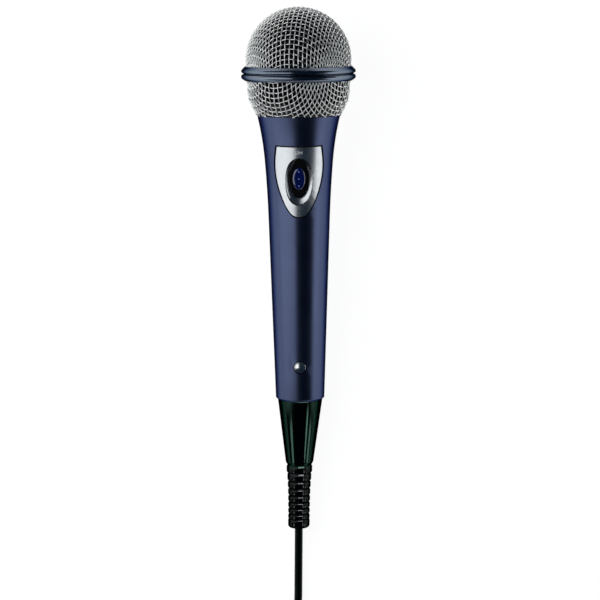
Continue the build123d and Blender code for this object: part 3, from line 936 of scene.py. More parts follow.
class WireTree(NodeGraph):
    """A Geometry Nodes tree that turns chains of edges into over-and-under round wires."""

    def __init__(self) -> None:
        """Build the tree."""
        super().__init__(bpy.data.node_groups.new("woven_wires", "GeometryNodeTree"))
        self.inputs: dict[str, str] = {}
        self._sockets()
        self._wire()

    def _sockets(self) -> None:
        """Name the tree's inputs and output."""
        interface = self.tree.interface
        interface.new_socket("Geometry", in_out="OUTPUT", socket_type="NodeSocketGeometry")
        for name, kind in (
            ("Geometry", "NodeSocketGeometry"),
            ("Wire Radius", "NodeSocketFloat"),
            ("Weave Lift", "NodeSocketFloat"),
            ("Centre", "NodeSocketVector"),
            ("Sides", "NodeSocketInt"),
            ("Spans", "NodeSocketInt"),
            ("Finish", "NodeSocketMaterial"),
        ):
            socket = interface.new_socket(name, in_out="INPUT", socket_type=kind)
            self.inputs[name] = socket.identifier

    def _wire(self) -> None:
        """Lift the knots in turn, smooth the lines and give them a round section."""
        entry = self.node("NodeGroupInput").outputs
        place = self.node("GeometryNodeInputPosition").outputs[0]
        over = self.node("GeometryNodeInputNamedAttribute", Name="over").outputs["Attribute"]
        outward = self.node("ShaderNodeVectorMath", place, entry["Centre"], operation="SUBTRACT")
        unit = self.node("ShaderNodeVectorMath", outward.outputs[0], operation="NORMALIZE")
        height = self.node("ShaderNodeMath", over, entry["Weave Lift"], operation="MULTIPLY")
        offset = self.node("ShaderNodeVectorMath", unit.outputs[0], operation="SCALE",
                           Scale=height.outputs[0])
        lifted = self.node("GeometryNodeSetPosition", entry["Geometry"],
                           Offset=offset.outputs[0])
        lines = self.node("GeometryNodeMeshToCurve", lifted.outputs[0])
        curved = self.node("GeometryNodeCurveSplineType", lines.outputs[0])
        curved.spline_type = "CATMULL_ROM"
        spans = self.node("GeometryNodeSetSplineResolution", curved.outputs[0],
                          Resolution=entry["Spans"])
        section = self.node("GeometryNodeCurvePrimitiveCircle", Resolution=entry["Sides"],
                            Radius=entry["Wire Radius"])
        wires = self.node("GeometryNodeCurveToMesh", Curve=spans.outputs[0],
                          Profile_Curve=section.outputs[0], Fill_Caps=True)
        real = self.node("GeometryNodeRealizeInstances", wires.outputs[0])
        finish = self.node("GeometryNodeSetMaterial", real.outputs[0], Material=entry["Finish"])
        self.node("NodeGroupOutput", finish.outputs[0])

    def apply(self, piece: bpy.types.Object, **values: object) -> bpy.types.Object:
        """Run the tree on a piece and keep the result as a plain mesh.

        Args:
            piece: the chains of edges, with their over attribute.
            values: the tree's inputs by name, with underscores for spaces.

        Returns:
            The wires as a plain mesh piece.
        """
        modifier = piece.modifiers.new("wires", "NODES")
        modifier.node_group = self.tree
        for name, value in values.items():
            modifier[self.inputs[name.replace("_", " ")]] = value
        return settle(piece)


@dataclass
class WovenBowl:
    """A bowl of square-woven wire, pressed from a flat sheet over a sphere.

    Attributes:
        name: the piece's name.
        centre_along: the sphere's centre on the microphone's axis.
        radius: the sphere's radius to the middle of the wires.
        toward_tail: whether the bowl's pole faces the tail.
        turn: where the first wires run down the front, in degrees to the right.
        low: where the wires end toward the tail.
        high: where the wires end toward the head.
        across: the pitch of the wires that run toward the pole at the front.
        lengthwise: the pitch of the wires that cross them.
        wall: (along, radius) points that the wires are moved to, where it isn't a sphere.
        wire: the wire's diameter.
        lift_share: how far a wire rises over the next, as a share of its own radius.
        reach: the wires laid to each side of the first.
        skirt: how far under the sphere's middle knots are laid, on the unit sphere.
    """

    name: str
    centre_along: float
    radius: float
    toward_tail: bool
    turn: float
    low: float
    high: float
    across: float
    lengthwise: float
    wall: Profile = ()
    wire: float = 0.54
    lift_share: float = 0.92
    reach: int = 26
    skirt: float = -0.3

    def knots(self) -> dict[tuple[int, int], Vector]:
        """Lay the sheet's knots on a unit sphere with its pole at +Z.

        The first wire each way follows a great circle. Every other knot is the knot behind it
        turned half a turn about the middle of its two neighbours, so all meshes keep their
        sides' lengths and only shear, as woven wire does.

        Returns:
            The knots by their place in the sheet.
        """
        found: dict[tuple[int, int], Vector] = {(0, 0): Vector((0.0, 0.0, 1.0))}
        for number in range(1, self.reach):
            for way in (-1, 1):
                turn = way * number * self.across / self.radius
                found[(way * number, 0)] = Vector((math.sin(turn), 0.0, math.cos(turn)))
                turn = way * number * self.lengthwise / self.radius
                found[(0, way * number)] = Vector((0.0, math.sin(turn), math.cos(turn)))
        for right in (-1, 1):
            for ahead in (-1, 1):
                for column in range(1, self.reach):
                    for row in range(1, self.reach):
                        behind = found.get((right * (column - 1), ahead * (row - 1)))
                        beside = found.get((right * (column - 1), ahead * row))
                        under = found.get((right * column, ahead * (row - 1)))
                        if not (behind and beside and under):
                            continue
                        if min(beside.z, under.z) < self.skirt:
                            continue
                        middle = (beside + under).normalized()
                        turned = 2 * behind.dot(middle) * middle - behind
                        found[(right * column, ahead * row)] = turned
        return found

    def station(self, knot: Vector) -> tuple[float, float, float]:
        """Find where a knot of the unit sphere lies on the microphone.

        Args:
            knot: the knot on the unit sphere.

        Returns:
            Its place along the microphone, its radius and its angle.
        """
        way = -1 if self.toward_tail else 1
        along = self.centre_along + way * self.radius * knot.z
        angle = math.atan2(knot.x, knot.y) + math.radians(self.turn)
        radius = self.radius * math.hypot(knot.x, knot.y)
        for (start, start_radius), (end, end_radius) in zip(self.wall, self.wall[1:]):
            if start <= along <= end:
                share = (along - start) / (end - start)
                radius = start_radius + share * (end_radius - start_radius)
        return along, radius, angle

    def chains(self) -> list[list[tuple[Vector, float]]]:
        """List each wire's points with whether it passes over or under, cut to the bowl's ends.

        Returns:
            The wires, each a list of (place in metres, plus or minus one).
        """
        found = self.knots()
        wires: list[list[tuple[Vector, float]]] = []
        span = range(1 - self.reach, self.reach)
        for fixed in span:
            for lengthwise in (True, False):
                chain: list[tuple[Vector, float, float]] = []
                for moving in span:
                    key = (fixed, moving) if lengthwise else (moving, fixed)
                    if key in found:
                        along, radius, angle = self.station(found[key])
                        over = 1.0 if (sum(key) % 2 == 0) == lengthwise else -1.0
                        chain.append((MICROPHONE.around(along, radius, angle), over, along))
                wires += self.cut(chain)
        return [wire for wire in wires if len(wire) > 1]

    def cut(self, chain: list[tuple[Vector, float, float]]) -> list[list[tuple[Vector, float]]]:
        """Cut one wire where it passes the bowl's ends.

        Args:
            chain: the wire's points, each with its lift and its place along the microphone.

        Returns:
            The stretches that lie within the bowl, some of them empty.
        """
        pieces: list[list[tuple[Vector, float]]] = [[]]
        following = chain[1:] + chain[-1:]
        for (place, over, along), (ahead, ahead_over, ahead_along) in zip(chain, following):
            inside = self.low <= along <= self.high
            if inside:
                pieces[-1].append((place, over))
            for edge in (self.low, self.high):
                if (along - edge) * (ahead_along - edge) < 0:
                    share = (edge - along) / (ahead_along - along)
                    crossing = (place.lerp(ahead, share), over + share * (ahead_over - over))
                    if inside:
                        pieces[-1].append(crossing)
                        pieces.append([])
                    else:
                        pieces[-1] = [crossing]
        return pieces

    def build(self, tree: WireTree, palette: Palette, slot: str, node: str) -> None:
        """Weave the bowl and dress it.

        Args:
            tree: the tree that turns the chains into wires.
            palette: the finishes.
            slot: the record's material slot.
            node: the CAD node that the bowl replaces.
        """
        places: list[Vector] = []
        lifts: list[float] = []
        edges: list[tuple[int, int]] = []
        for wire in self.chains():
            first = len(places)
            places += [place for place, _ in wire]
            lifts += [over for _, over in wire]
            edges += [(number, number + 1) for number in range(first, len(places) - 1)]
        mesh = bpy.data.meshes.new(self.name)
        mesh.from_pydata(places, edges, [])
        mesh.attributes.new("over", "FLOAT", "POINT").data.foreach_set("value", lifts)
        piece = tree.apply(
            add_object(self.name, mesh),
            Wire_Radius=self.wire / 2 * MM,
            Weave_Lift=self.wire / 2 * self.lift_share * MM,
            Centre=MICROPHONE.place(self.centre_along),
            Sides=6,
            Spans=3,
            Finish=palette.wire,
        )
        piece.data.polygons.foreach_set("use_smooth", [True] * len(piece.data.polygons))
        dress(piece, palette.wire, Body.HEAD, slot, node)


@dataclass
class GrilleHead:
    """The head: two woven bowls, the banded ring between them, the collar and the foam.

    Places along it count from the handle's tail, and the ring's own from the ring's middle.
    All sizes are in millimetres.

    Attributes:
        wire: the wire's diameter.
        ring_along: where the ring's middle is.
        ring_front: where the ring ends toward the dome.
        ring_rear: how far it reaches toward the basket.
        ring_bore: the radius of its bore.
        crest_radius: its lobes' radius before they are rounded.
        front_crest: the front lobe's crest.
        rear_crest: the rear lobe's crest.
        front_shoulder: where the front lobe starts to fall toward the dome.
        rear_shoulder: where the rear lobe starts to fall toward the basket.
        shoulder_radius: the ring's radius at the shoulders.
        front_lip: the groove's edge on the front lobe.
        rear_lip: the groove's edge on the rear lobe.
        lip_radius: the ring's radius at the lips.
        groove_offset: where the groove's floor is.
        groove_radius: the ring's radius at the groove's floor.
        groove_corner: the radius at the groove's floor.
        lobe_corners: the radii from the bore to the lip, on each lobe.
        edge_radius: the ring's radius at its two ends.
        dome_centre: where the dome's sphere has its middle.
        dome_radius: the dome's outer radius.
        dome_inset: how far the middle of its wires lies inside that, in wires.
        dome_turn: where its wires run down the front, in degrees.
        dome_seat: how far ahead of the ring's middle its wires start.
        dome_end: a place past the dome's pole.
        dome_across: the pitch of the wires that run down the front.
        dome_lengthwise: the pitch of the wires that cross them.
        basket_centre: where the basket's sphere has its middle.
        basket_radius: the sphere's radius.
        basket_turn: where the basket's wires run down the front, in degrees.
        basket_start: where its wires start at the collar.
        basket_end: where they end in the ring.
        basket_pitch: the pitch of its wires both ways.
        basket_wall: the (along, radius) points of its side.
        foam_radius: the dome foam's outer radius.
        foam_wall: the foam's thickness.
        foam_seat: the foam's outer radius in the ring.
        foam_foot: how far ahead of the ring's middle the dome's foam starts.
        foam_fill: how full the padded foam is.
        foam_steps: the spans in the dome foam's arc.
        basket_foam: the (along, radius) points of the basket foam's outer side.
    """

    wire: float = 0.54
    ring_along: float = 160.1
    ring_front: float = 3.9
    ring_rear: float = 3.1
    ring_bore: float = 23.6
    crest_radius: float = 28.1
    front_crest: float = 1.6
    rear_crest: float = -1.15
    front_shoulder: float = 2.5
    rear_shoulder: float = -2.1
    shoulder_radius: float = 27.6
    front_lip: float = 0.9
    rear_lip: float = -0.1
    lip_radius: float = 27.7
    groove_offset: float = 0.4
    groove_radius: float = 26.6
    groove_corner: float = 0.12
    lobe_corners: tuple[float, ...] = (0.0, 0.5, 1.2, 0.8, 0.4)
    edge_radius: float = 26.2
    dome_centre: float = 166.9
    dome_radius: float = 26.0
    dome_inset: float = 0.95
    dome_turn: float = -10.0
    dome_seat: float = 3.4
    dome_end: float = 200.0
    dome_across: float = 2.2
    dome_lengthwise: float = 2.42
    basket_centre: float = 157.0
    basket_radius: float = 25.4
    basket_turn: float = -29.0
    basket_start: float = 140.1
    basket_end: float = 157.2
    basket_pitch: float = 2.48
    basket_wall: Profile = ((139.6, 19.9), (140.3, 20.4), (141.1, 20.9), (143.1, 21.8),
                            (146.0, 23.3), (148.4, 24.2), (151.9, 24.6), (157.3, 24.9))
    foam_radius: float = 23.9
    foam_wall: float = 3.0
    foam_seat: float = 23.4
    foam_foot: float = 0.5
    foam_fill: float = 0.8
    foam_steps: int = 14
    basket_foam: Profile = ((146.5, 19.8), (146.5, 22.3), (152.0, 23.0), (156.6, 23.4),
                            (160.4, 23.4))

    def build(self, palette: Palette) -> None:
        """Make every piece of the head.

        Args:
            palette: the finishes.
        """
        tree = WireTree()
        dome = WovenBowl(
            "woven_dome", self.dome_centre, self.dome_radius - self.dome_inset * self.wire,
            toward_tail=False, turn=self.dome_turn, low=self.ring_along + self.dome_seat,
            high=self.dome_end, across=self.dome_across, lengthwise=self.dome_lengthwise,
            wire=self.wire)
        dome.build(tree, palette, "dome_wire", "dome_grille")
        basket = WovenBowl(
            "woven_basket", self.basket_centre, self.basket_radius, toward_tail=True,
            turn=self.basket_turn, low=self.basket_start, high=self.basket_end,
            across=self.basket_pitch, lengthwise=self.basket_pitch, wall=self.basket_wall,
            wire=self.wire)
        basket.build(tree, palette, "basket_wire", "basket_grille")
        self.ring(palette)
        collar = smooth_copy("grille_collar", "collar_band")
        dress(collar, palette.satin, Body.HEAD, "collar_metal", "grille_collar")
        self.foams(palette)

    def ring(self, palette: Palette) -> None:
        """Turn the ring: two round lobes, the rear one shorter, with a narrow groove between.

        Args:
            palette: the finishes.
        """
        front = [(self.ring_front, self.ring_bore), (self.ring_front, self.edge_radius),
                 (self.front_shoulder, self.shoulder_radius),
                 (self.front_crest, self.crest_radius), (self.front_lip, self.lip_radius)]
        rear = [(self.rear_lip, self.lip_radius), (self.rear_crest, self.crest_radius),
                (self.rear_shoulder, self.shoulder_radius),
                (-self.ring_rear, self.edge_radius), (-self.ring_rear, self.ring_bore)]
        radii = [*self.lobe_corners, self.groove_corner, *self.lobe_corners[::-1]]
        outline = rounded(front + [(self.groove_offset, self.groove_radius)] + rear, radii)
        profile = [(self.ring_along + along, radius) for along, radius in outline]
        dress(lathe("banded_ring", profile, MICROPHONE, 160), palette.ring, Body.HEAD,
              "ring_paint", "grille_ring")

    def foam_arc(self, radius: float) -> list[tuple[float, float]]:
        """List the points of a foam's round side.

        Args:
            radius: the side's radius.

        Returns:
            The (along, radius) points, from the pole to the foot.
        """
        turns = [math.pi / 2 * step / self.foam_steps for step in range(self.foam_steps, -1, -1)]
        arc = [(self.dome_centre + radius * math.sin(turn), radius * math.cos(turn))
               for turn in turns]
        return [(arc[0][0], 0.0)] + arc[1:]

    def foams(self, palette: Palette) -> None:
        """Turn the two foam liners.

        Args:
            palette: the finishes.
        """
        inner = self.foam_radius - self.foam_wall
        foot = self.ring_along + self.foam_foot
        profile = (self.foam_arc(self.foam_radius) + [(foot, self.foam_seat), (foot, inner)]
                   + self.foam_arc(inner)[::-1])
        dome = lathe("dome_liner", profile, MICROPHONE, 64, 180.0)
        dress(dome, palette.foam, Body.HEAD, "dome_foam_black", "dome_foam")
        end, seat = self.basket_foam[-1]
        outline = [*self.basket_foam, (end, seat - self.foam_wall)]
        basket = lathe("basket_liner", outline, MICROPHONE, 64, 180.0)
        dress(basket, palette.foam, Body.HEAD, "basket_foam_black", "basket_foam")


# ---- Handle -------------------------------------------------------------------------------


@dataclass
class Handle:
    """The painted handle with its boot, its set screw and what is inside.

    Places along it count from the tail's end toward the head, and into the boot where they are
    turned round. All sizes are in millimetres.

    Attributes:
        boot_length: the boot's length outside the handle.
        flange_top: where the flange inside the tail ends.
        flange_radius: the flange's radius.
        tail_wall: where the flange sits on the tail's wall.
        neck_radius: the boot's radius in the tail's mouth.
        root_radius: the cone's radius at the tail.
        cone_length: the length of the cone.
        cone_radius: its radius at its small end.
        shoulder_gap: how far ahead of the first rib the cone has run out.
        shoulder_radius: the boot's radius there.
        rib_start: where the ribs start, from the tail.
        rib_pitch: the first rib's pitch.
        rib_shrink: each pitch, as a share of the one before.
        rib_count: the number of ribs.
        rib_rise: the first rib's height over the plain end.
        rib_fade: each height, as a share of the one before.
        rib_share: half of a rib's crest, as a share of its pitch.
        rib_droop: how much lower a crest is on the side toward the cord.
        rib_corner: the radius of a rib's corners, as a share of its pitch.
        groove_depth: the depth of the grooves between the ribs.
        groove_corner: the radius at the foot of a groove.
        bead_length: the length of the plain end's start.
        bead_radius: the radius of the plain end at the cord.
        bead_corners: the radii where the plain end starts and where it closes.
        boot_lean: how far the boot leans to the left, as a share of its length.
        rib_margin: how far ahead of the ribs their own black starts.
        screw_along: where the set screw is.
        screw_top: the top of its head, from the microphone's axis.
        screw_foot: its foot, from the axis.
        shaft_radius: its shaft's radius.
        pan_height: the height of its pan head.
        pan_radius: the head's radius.
        pan_edge: how far under the top the head's side ends.
        pan_corner: the radius of the edge there.
        pan_dome: how far the dome falls from its middle to its brim.
        dome_reaches: the dome's radii from its brim to its middle.
        cross_turn: the turn of the cross, in degrees.
        cross_size: the length, width and height of the cutter for each slot of the cross.
        recess_start: where the stretch with the painted shade in the recesses starts.
        recess_end: where it ends.
        recess_depth: the deepest that a recess face is painted black as shade.
        paint_depth: how deep the slate paint reaches; recess faces deeper than this are painted black as shade.
    """

    boot_length: float = 65.0
    flange_top: float = 6.5
    flange_radius: float = 9.8
    tail_wall: float = 4.0
    neck_radius: float = 8.0
    root_radius: float = 11.0
    cone_length: float = 31.6
    cone_radius: float = 6.85
    shoulder_gap: float = 2.0
    shoulder_radius: float = 5.9
    rib_start: float = 35.2
    rib_pitch: float = 4.1
    rib_shrink: float = 0.94
    rib_count: int = 8
    rib_rise: float = 1.05
    rib_fade: float = 0.6
    rib_share: float = 0.36
    rib_droop: float = 0.05
    rib_corner: float = 0.25
    groove_depth: float = 0.85
    groove_corner: float = 0.08
    bead_length: float = 1.4
    bead_radius: float = 5.35
    bead_corners: tuple[float, float] = (0.6, 1.6)
    boot_lean: float = 0.0154
    rib_margin: float = 1.5
    screw_along: float = 17.4
    screw_top: float = 12.75
    screw_foot: float = 2.6
    shaft_radius: float = 1.45
    pan_height: float = 1.5
    pan_radius: float = 2.8
    pan_edge: float = 0.45
    pan_corner: float = 0.35
    pan_dome: float = 0.5
    dome_reaches: tuple[float, ...] = (2.3, 1.9, 1.5, 1.1, 0.7, 0.3, 0.0)
    cross_turn: float = 20.0
    cross_size: tuple[float, float, float] = (3.7, 0.85, 1.6)
    recess_start: float = 5.0
    recess_end: float = 135.0
    recess_depth: float = 1.4
    paint_depth: float = 0.2

    def build(self, palette: Palette) -> None:
        """Make the handle's pieces and coat the hidden ones.

        Args:
            palette: the finishes.
        """
        shell = dress(smooth_copy("handle_shell", "handle_skin"), palette.paint, Body.HANDLE,
                      "body_paint", "handle_shell")
        # The plate's pocket and the screw's hole get painted black shade.
        self.paint_recess_shade(shell, palette.satin)
        self.screw(palette)
        self.boot(palette)
        for finish, nodes in (
            (palette.steel, ("neck_sleeve", "magnet_yoke", "magnet", "pole_plate",
                             "slide_switch", "switch_screws")),
            (palette.satin, ("shock_mount", "capsule_housing", "capsule_cap", "tail_bush",
                             "cord_tie", "plug_boot", "plug_insulator")),
            (palette.nickel, ("plug_shell", "plug_sleeve", "plug_tip")),
            (palette.red, ("cord_leads", "capsule_leads")),
            (palette.copper, ("voice_coil",)),
            (palette.grey, ("film_ring",)),
            (palette.film, ("diaphragm",)),
            (palette.brass, ("switch_terminals",)),
            (palette.jacket, ("cord_core",)),
        ):
            for node in nodes:
                coat_node(node, finish)

    def paint_recess_shade(self, shell: bpy.types.Object, recess_shade_finish: bpy.types.Material) -> None:
        """Paint black shade into the plate's pocket and the screw's hole, on the faces just inside the painted
        skin.

        Args:
            shell: the handle's painted piece.
            recess_shade_finish: the black material that paints the shade in the recesses.
        """
        shell.data.materials.append(recess_shade_finish)
        surface = surface_of(shell)
        for polygon in shell.data.polygons:
            reach = (polygon.center - MICROPHONE.start) / MM
            along = reach.dot(MICROPHONE.forward)
            height = reach.dot(MICROPHONE.up)
            if not self.recess_start < along < self.recess_end or height < 0:
                continue
            radius = math.hypot(reach.x, height)
            below = MICROPHONE.place(along, height=-2 * radius)
            hit, _, _, _ = surface.ray_cast(below, MICROPHONE.up)
            depth = (hit - MICROPHONE.place(along)).length / MM - radius
            # Faces between these depths get the black finish: painted shade in the recesses.
            if self.paint_depth < depth < self.recess_depth:
                polygon.material_index = 1

    def screw(self, palette: Palette) -> None:
        """Turn the set screw with its low dome and cut the cross into it.

        Args:
            palette: the finishes.
        """
        axis = TurningAxis(MICROPHONE.place(self.screw_along), MICROPHONE.up, MICROPHONE.forward)
        seat = self.screw_top - self.pan_height
        brim = self.screw_top - self.pan_edge
        corners = [(self.screw_foot, 0.0), (self.screw_foot, self.shaft_radius),
                   (seat, self.shaft_radius), (seat, self.pan_radius), (brim, self.pan_radius)]
        dome = [(self.screw_top - self.pan_dome * (reach / self.dome_reaches[0]) ** 2, reach)
                for reach in self.dome_reaches]
        outline = rounded(corners + dome,
                          [0.0, 0.0, 0.0, 0.0, self.pan_corner] + [0.0] * len(dome))
        piece = lathe("pan_screw", outline, axis, 64)
        shape = bmesh.new()
        facing = Matrix((axis.side, axis.up, axis.forward)).transposed().to_4x4()
        size = Matrix.Diagonal((*[length * MM for length in self.cross_size], 1.0))
        for turn in (self.cross_turn, self.cross_turn + 90.0):
            turned = facing @ Matrix.Rotation(math.radians(turn), 4, "Z")
            placed = Matrix.Translation(axis.place(self.screw_top)) @ turned @ size
            bmesh.ops.create_cube(shape, size=1.0, matrix=placed)
        recess = add_shape("cross_recess", shape, 32.0)
        cut = piece.modifiers.new("cross", "BOOLEAN")
        cut.object = recess
        cut.use_self = True
        piece = settle(piece)
        bpy.data.objects.remove(recess)
        shade_by_angle(piece.data, 32.0)
        dress(piece, palette.bright, Body.HANDLE, "screw_chrome", "set_screw")

    def boot(self, palette: Palette) -> None:
        """Turn the strain relief: a smooth cone, then round ribs that shrink toward the cord.

        Args:
            palette: the finishes.
        """
        corners: list[tuple[float, float]] = [
            (self.flange_top, 0.0), (self.flange_top, self.flange_radius),
            (self.tail_wall, self.flange_radius), (self.tail_wall, self.neck_radius),
            (0.0, self.neck_radius), (0.0, self.root_radius),
            (-self.cone_length, self.cone_radius),
            (self.shoulder_gap - self.rib_start, self.shoulder_radius)]
        radii = [0.0, 0.0, 0.0, 0.0, 0.0, 0.3, 1.0, 0.2]
        along = -self.rib_start
        for number in range(self.rib_count):
            pitch = self.rib_pitch * self.rib_shrink**number
            crest = self.bead_radius + self.rib_rise * self.rib_fade**number
            corners += [(along + self.rib_share * pitch, crest),
                        (along - self.rib_share * pitch, crest - self.rib_droop),
                        (along - 0.5 * pitch, crest - self.groove_depth)]
            radii += [self.rib_corner * pitch, self.rib_corner * pitch, self.groove_corner]
            along -= pitch
        corners += [(along + self.bead_length, self.bead_radius + self.rib_droop),
                    (-self.boot_length, self.bead_radius), (-self.boot_length, 0.0)]
        radii += [*self.bead_corners, 0.0]
        piece = dress(lathe("ribbed_boot", rounded(corners, radii), MICROPHONE), palette.boot,
                      Body.HANDLE, "boot_black", "strain_relief")
        piece.data.materials.append(palette.ribs)
        for vertex in piece.data.vertices:
            beyond = min(0.0, (vertex.co - MICROPHONE.start).dot(MICROPHONE.forward))
            vertex.co += MICROPHONE.side * (beyond * self.boot_lean)
        for polygon in piece.data.polygons:
            along = (polygon.center - MICROPHONE.start).dot(MICROPHONE.forward) / MM
            polygon.material_index = int(along < self.rib_margin - self.rib_start)


@dataclass
class ThumbSwitch:
    """The chrome switch plate, the black slide in its dish and the blue knob.

    Heights count from the knob's base, and places along the switch from the knob's middle
    toward the head. All sizes are in millimetres.

    Attributes:
        knob_half_width: half the knob's width.
        knob_half_length: half the knob's length.
        knob_height: the knob's height.
        knob_side: the height of its steep side, as a share of its height.
        knob_draft: its width at the top of the side, as a share of that at its base.
        roll_height: the height over which it rolls to the crown, as a share of its height.
        roll_width: how far in it rolls, as a share of its width.
        pip_radius: a pip's radius.
        pip_pitch: the distance from pip to pip.
        pip_sinks: how far the middle pip and the outer ones sit under the crown's top.
        lettering_size: the size of the printed word.
        lettering_reach: where the word's middle is.
        lettering_gap: how far it lies over the plate.
        slide_narrowing: the slide's width in view, as a share of its CAD width.
        slide_thickness: how far under the knob's base the thin slide's underside is.
        slide_droop: how fast its sides curve down beside the knob.
        dish_reach: the dish's middle.
        dish_sheet: its thickness.
        rim_half_width: half its width at the plate's face.
        rim_half_length: half its length there.
        rim_lift: how far its rim stands over the plate's face.
        rim_spread: where the face's height is read, as shares of the rim's width and length.
        floor_half_width: half its floor's width.
        floor_half_length: half its floor's length.
        floor_height: its floor's height.
        floor_rows: the rows of its open floor, as shares of the floor's size.
        wall_rows: the rows of its wall up to the knee, as shares of the way to the rim.
        knee_share: where its wall toward the tail turns steep, as such a share.
        knee_height: the height that the wall has there.
        upper_row: the row between the knee and the rim.
        ray_height: how high over the plate rays are cast down from.
    """

    knob_half_width: float = 3.15
    knob_half_length: float = 5.4
    knob_height: float = 1.5
    knob_side: float = 0.40
    knob_draft: float = 0.99
    roll_height: float = 0.5
    roll_width: float = 0.25
    pip_radius: float = 0.36
    pip_pitch: float = 3.45
    pip_sinks: tuple[float, float] = (0.06, 0.12)
    lettering_size: float = 2.15
    lettering_reach: float = 12.65
    lettering_gap: float = 0.04
    slide_narrowing: float = 0.9
    slide_thickness: float = 0.35
    slide_droop: float = 0.15
    dish_reach: float = -1.5
    dish_sheet: float = 0.05
    rim_half_width: float = 6.78
    rim_half_length: float = 11.66
    rim_lift: float = 0.02
    rim_spread: tuple[float, float] = (1.01, 1.005)
    floor_half_width: float = 4.6
    floor_half_length: float = 9.85
    floor_height: float = -1.35
    floor_rows: tuple[float, ...] = (0.92, 1.0)
    wall_rows: tuple[float, ...] = (0.17, 0.34, 0.51, 0.68)
    knee_share: float = 0.86
    knee_height: float = -0.45
    upper_row: float = 0.93
    ray_height: float = 20.0

    def build(self, palette: Palette) -> None:
        """Make the switch's pieces.

        Args:
            palette: the finishes.
        """
        plate = dress(smooth_copy("switch_plate", "chrome_plate", 24.0), palette.chrome,
                      Body.HANDLE, "plate_chrome", "switch_plate")
        surface = surface_of(plate)
        self.lettering(surface, palette)
        self.dish(surface, palette)
        slide = smooth_copy("thumb_slide", "black_slide")
        for vertex in slide.data.vertices:
            lift = -self.slide_thickness * MM - (vertex.co - SWITCH.centre).dot(SWITCH.normal)
            vertex.co += SWITCH.normal * max(0.0, lift)
            side = self.slide_narrowing * (vertex.co.x - SWITCH.centre.x)
            vertex.co.x = SWITCH.centre.x + side
            beyond = max(0.0, abs(side) / MM - self.knob_half_width)
            vertex.co -= SWITCH.normal * (self.slide_droop * beyond**2 * MM)
        dress(slide, palette.slide, Body.SLIDER, "slide_black", "thumb_slide")
        self.knob(palette)
        self.pips(palette)
        coat_node("switch_lever", palette.satin)

    @staticmethod
    def oval(half_width: float, half_length: float, height: float, reach: float = 0.0,
             steps: int = 96) -> list[Vector]:
        """List the points of an oval ring about the knob's base.

        Args:
            half_width: half its width.
            half_length: half its length.
            height: its height over the knob's base.
            reach: how far ahead of the knob its middle is.
            steps: the number of points.

        Returns:
            The points in metres.
        """
        turns = (2 * math.pi * step / steps for step in range(steps))
        return [SWITCH.place(half_width * math.cos(turn), half_length * math.sin(turn) + reach,
                             height) for turn in turns]

    def dish(self, surface: BVHTree, palette: Palette) -> None:
        """Press the dish: a shallow oval bowl round the slide, up to the plate's face.

        It is open under the slide. Toward the tail the wall stays low as far as the slide
        travels, and then rises steeply.

        Args:
            surface: the chrome plate's surface.
            palette: the finishes.
        """
        rim = []
        spread_side, spread_run = self.rim_spread
        for place in self.oval(self.rim_half_width, self.rim_half_length, 0.0, self.dish_reach):
            offset = place - SWITCH.centre
            above = SWITCH.place(spread_side * offset.x / MM,
                                 spread_run * offset.dot(SWITCH.run) / MM, self.ray_height)
            hit, _, _, _ = surface.ray_cast(above, -SWITCH.normal)
            height = (hit - SWITCH.centre).dot(SWITCH.normal) + self.rim_lift * MM
            rim.append(place + SWITCH.normal * height)
        floor = [self.oval(share * self.floor_half_width, share * self.floor_half_length,
                           self.floor_height) for share in self.floor_rows]
        knee = self.knee_height - self.floor_height
        wall = []
        for share in (*self.wall_rows, self.knee_share, self.upper_row):
            row = []
            for number, (foot, top) in enumerate(zip(floor[-1], rim)):
                rise = (top - foot).dot(SWITCH.normal) / MM
                past = max(0.0, share - self.knee_share) / (1.0 - self.knee_share)
                low = min(share / self.knee_share, 1.0) * knee + past * (rise - knee)
                tailward = max(0.0, -math.sin(2 * math.pi * number / len(rim)))
                kneed = 1.0 - (1.0 - tailward) ** 2
                sag = SWITCH.normal * (kneed * (low - share * rise) * MM)
                row.append(foot.lerp(top, share) + sag)
            wall.append(row)
        upper = floor + wall + [rim]
        lower = [[place - SWITCH.normal * self.dish_sheet * MM for place in row]
                 for row in reversed(upper[:-1])]
        dress(skin("switch_dish", upper + lower, 40.0), palette.chrome, Body.HANDLE,
              "plate_chrome")

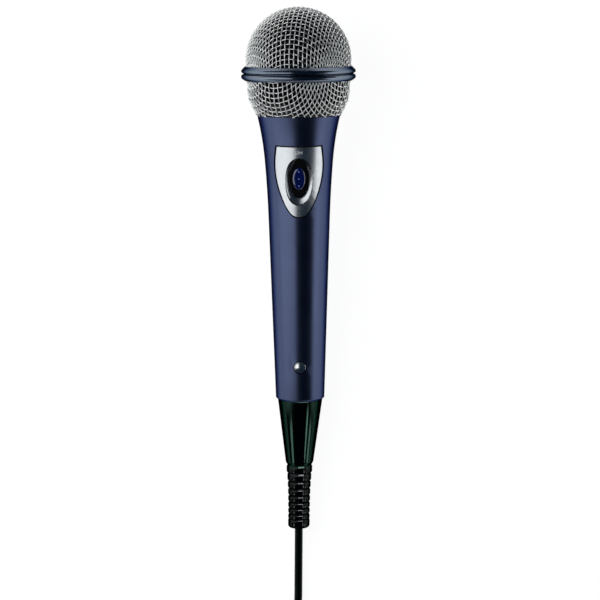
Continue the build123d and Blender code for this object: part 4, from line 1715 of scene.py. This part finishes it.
    def lettering(self, surface: BVHTree, palette: Palette) -> None:
        """Print the word ON near the plate's straight edge.

        Args:
            surface: the chrome plate's surface.
            palette: the finishes.
        """
        curve = bpy.data.curves.new("on_lettering", "FONT")
        curve.body = "ON"
        curve.size = self.lettering_size
        curve.align_x = "CENTER"
        curve.align_y = "CENTER"
        curve.space_character = 1.1
        curve.offset = 0.06
        flat = bpy.data.objects.new("on_lettering", curve)
        bpy.context.scene.collection.objects.link(flat)
        mesh = evaluated_mesh(flat)
        bpy.data.objects.remove(flat)
        for vertex in mesh.vertices:
            reach = vertex.co.y + self.lettering_reach
            above = SWITCH.place(vertex.co.x, reach, self.ray_height)
            hit, normal, _, _ = surface.ray_cast(above, -SWITCH.normal)
            vertex.co = hit + normal * self.lettering_gap * MM
        dress(add_object("on_lettering", mesh), palette.silver, Body.HANDLE, "plate_chrome")

    def knob(self, palette: Palette) -> None:
        """Raise the knob: a nearly flat oval crown that rolls over to a steep side.

        Args:
            palette: the finishes.
        """
        crown = self.knob_draft - self.roll_width
        levels = [(0.0, 1.0), (self.knob_side, self.knob_draft)]
        levels += [(self.knob_side + self.roll_height * math.sin(turn),
                    crown + self.roll_width * math.cos(turn))
                   for turn in (math.pi / 2 * step / 8 for step in range(1, 9))]
        levels += [(0.955, 0.5), (0.985, 0.25)]
        rings = [self.oval(share * self.knob_half_width, share * self.knob_half_length,
                           height * self.knob_height, steps=72) for height, share in levels]
        poles = [[SWITCH.place(0.0, 0.0, height)] for height in (0.0, self.knob_height)]
        dress(skin("blue_knob", poles[:1] + rings + poles[1:], 50.0), palette.button,
              Body.SLIDER, "knob_blue", "thumb_knob")

    def pips(self, palette: Palette) -> None:
        """Set three small pips in a row along the knob.

        Args:
            palette: the finishes.
        """
        shape = bmesh.new()
        for number in (-1, 0, 1):
            sink = self.pip_sinks[abs(number)]
            place = SWITCH.place(0.0, number * self.pip_pitch, self.knob_height - sink)
            bmesh.ops.create_uvsphere(shape, u_segments=16, v_segments=8,
                                      radius=self.pip_radius * MM,
                                      matrix=Matrix.Translation(place))
        dress(add_shape("knob_pips", shape, 180.0), palette.pip, Body.SLIDER, "knob_blue")


def main() -> None:
    """Build the studio, then the microphone from its cord to its head."""
    logging.basicConfig(level=logging.INFO, format="%(message)s")
    studio = Studio()
    studio.build()
    palette = Palette()
    Cord().build(palette)
    Handle().build(palette)
    ThumbSwitch().build(palette)
    GrilleHead().build(palette)
    for box in studio.boxes:
        box.flag()


if __name__ == "__main__":
    main()
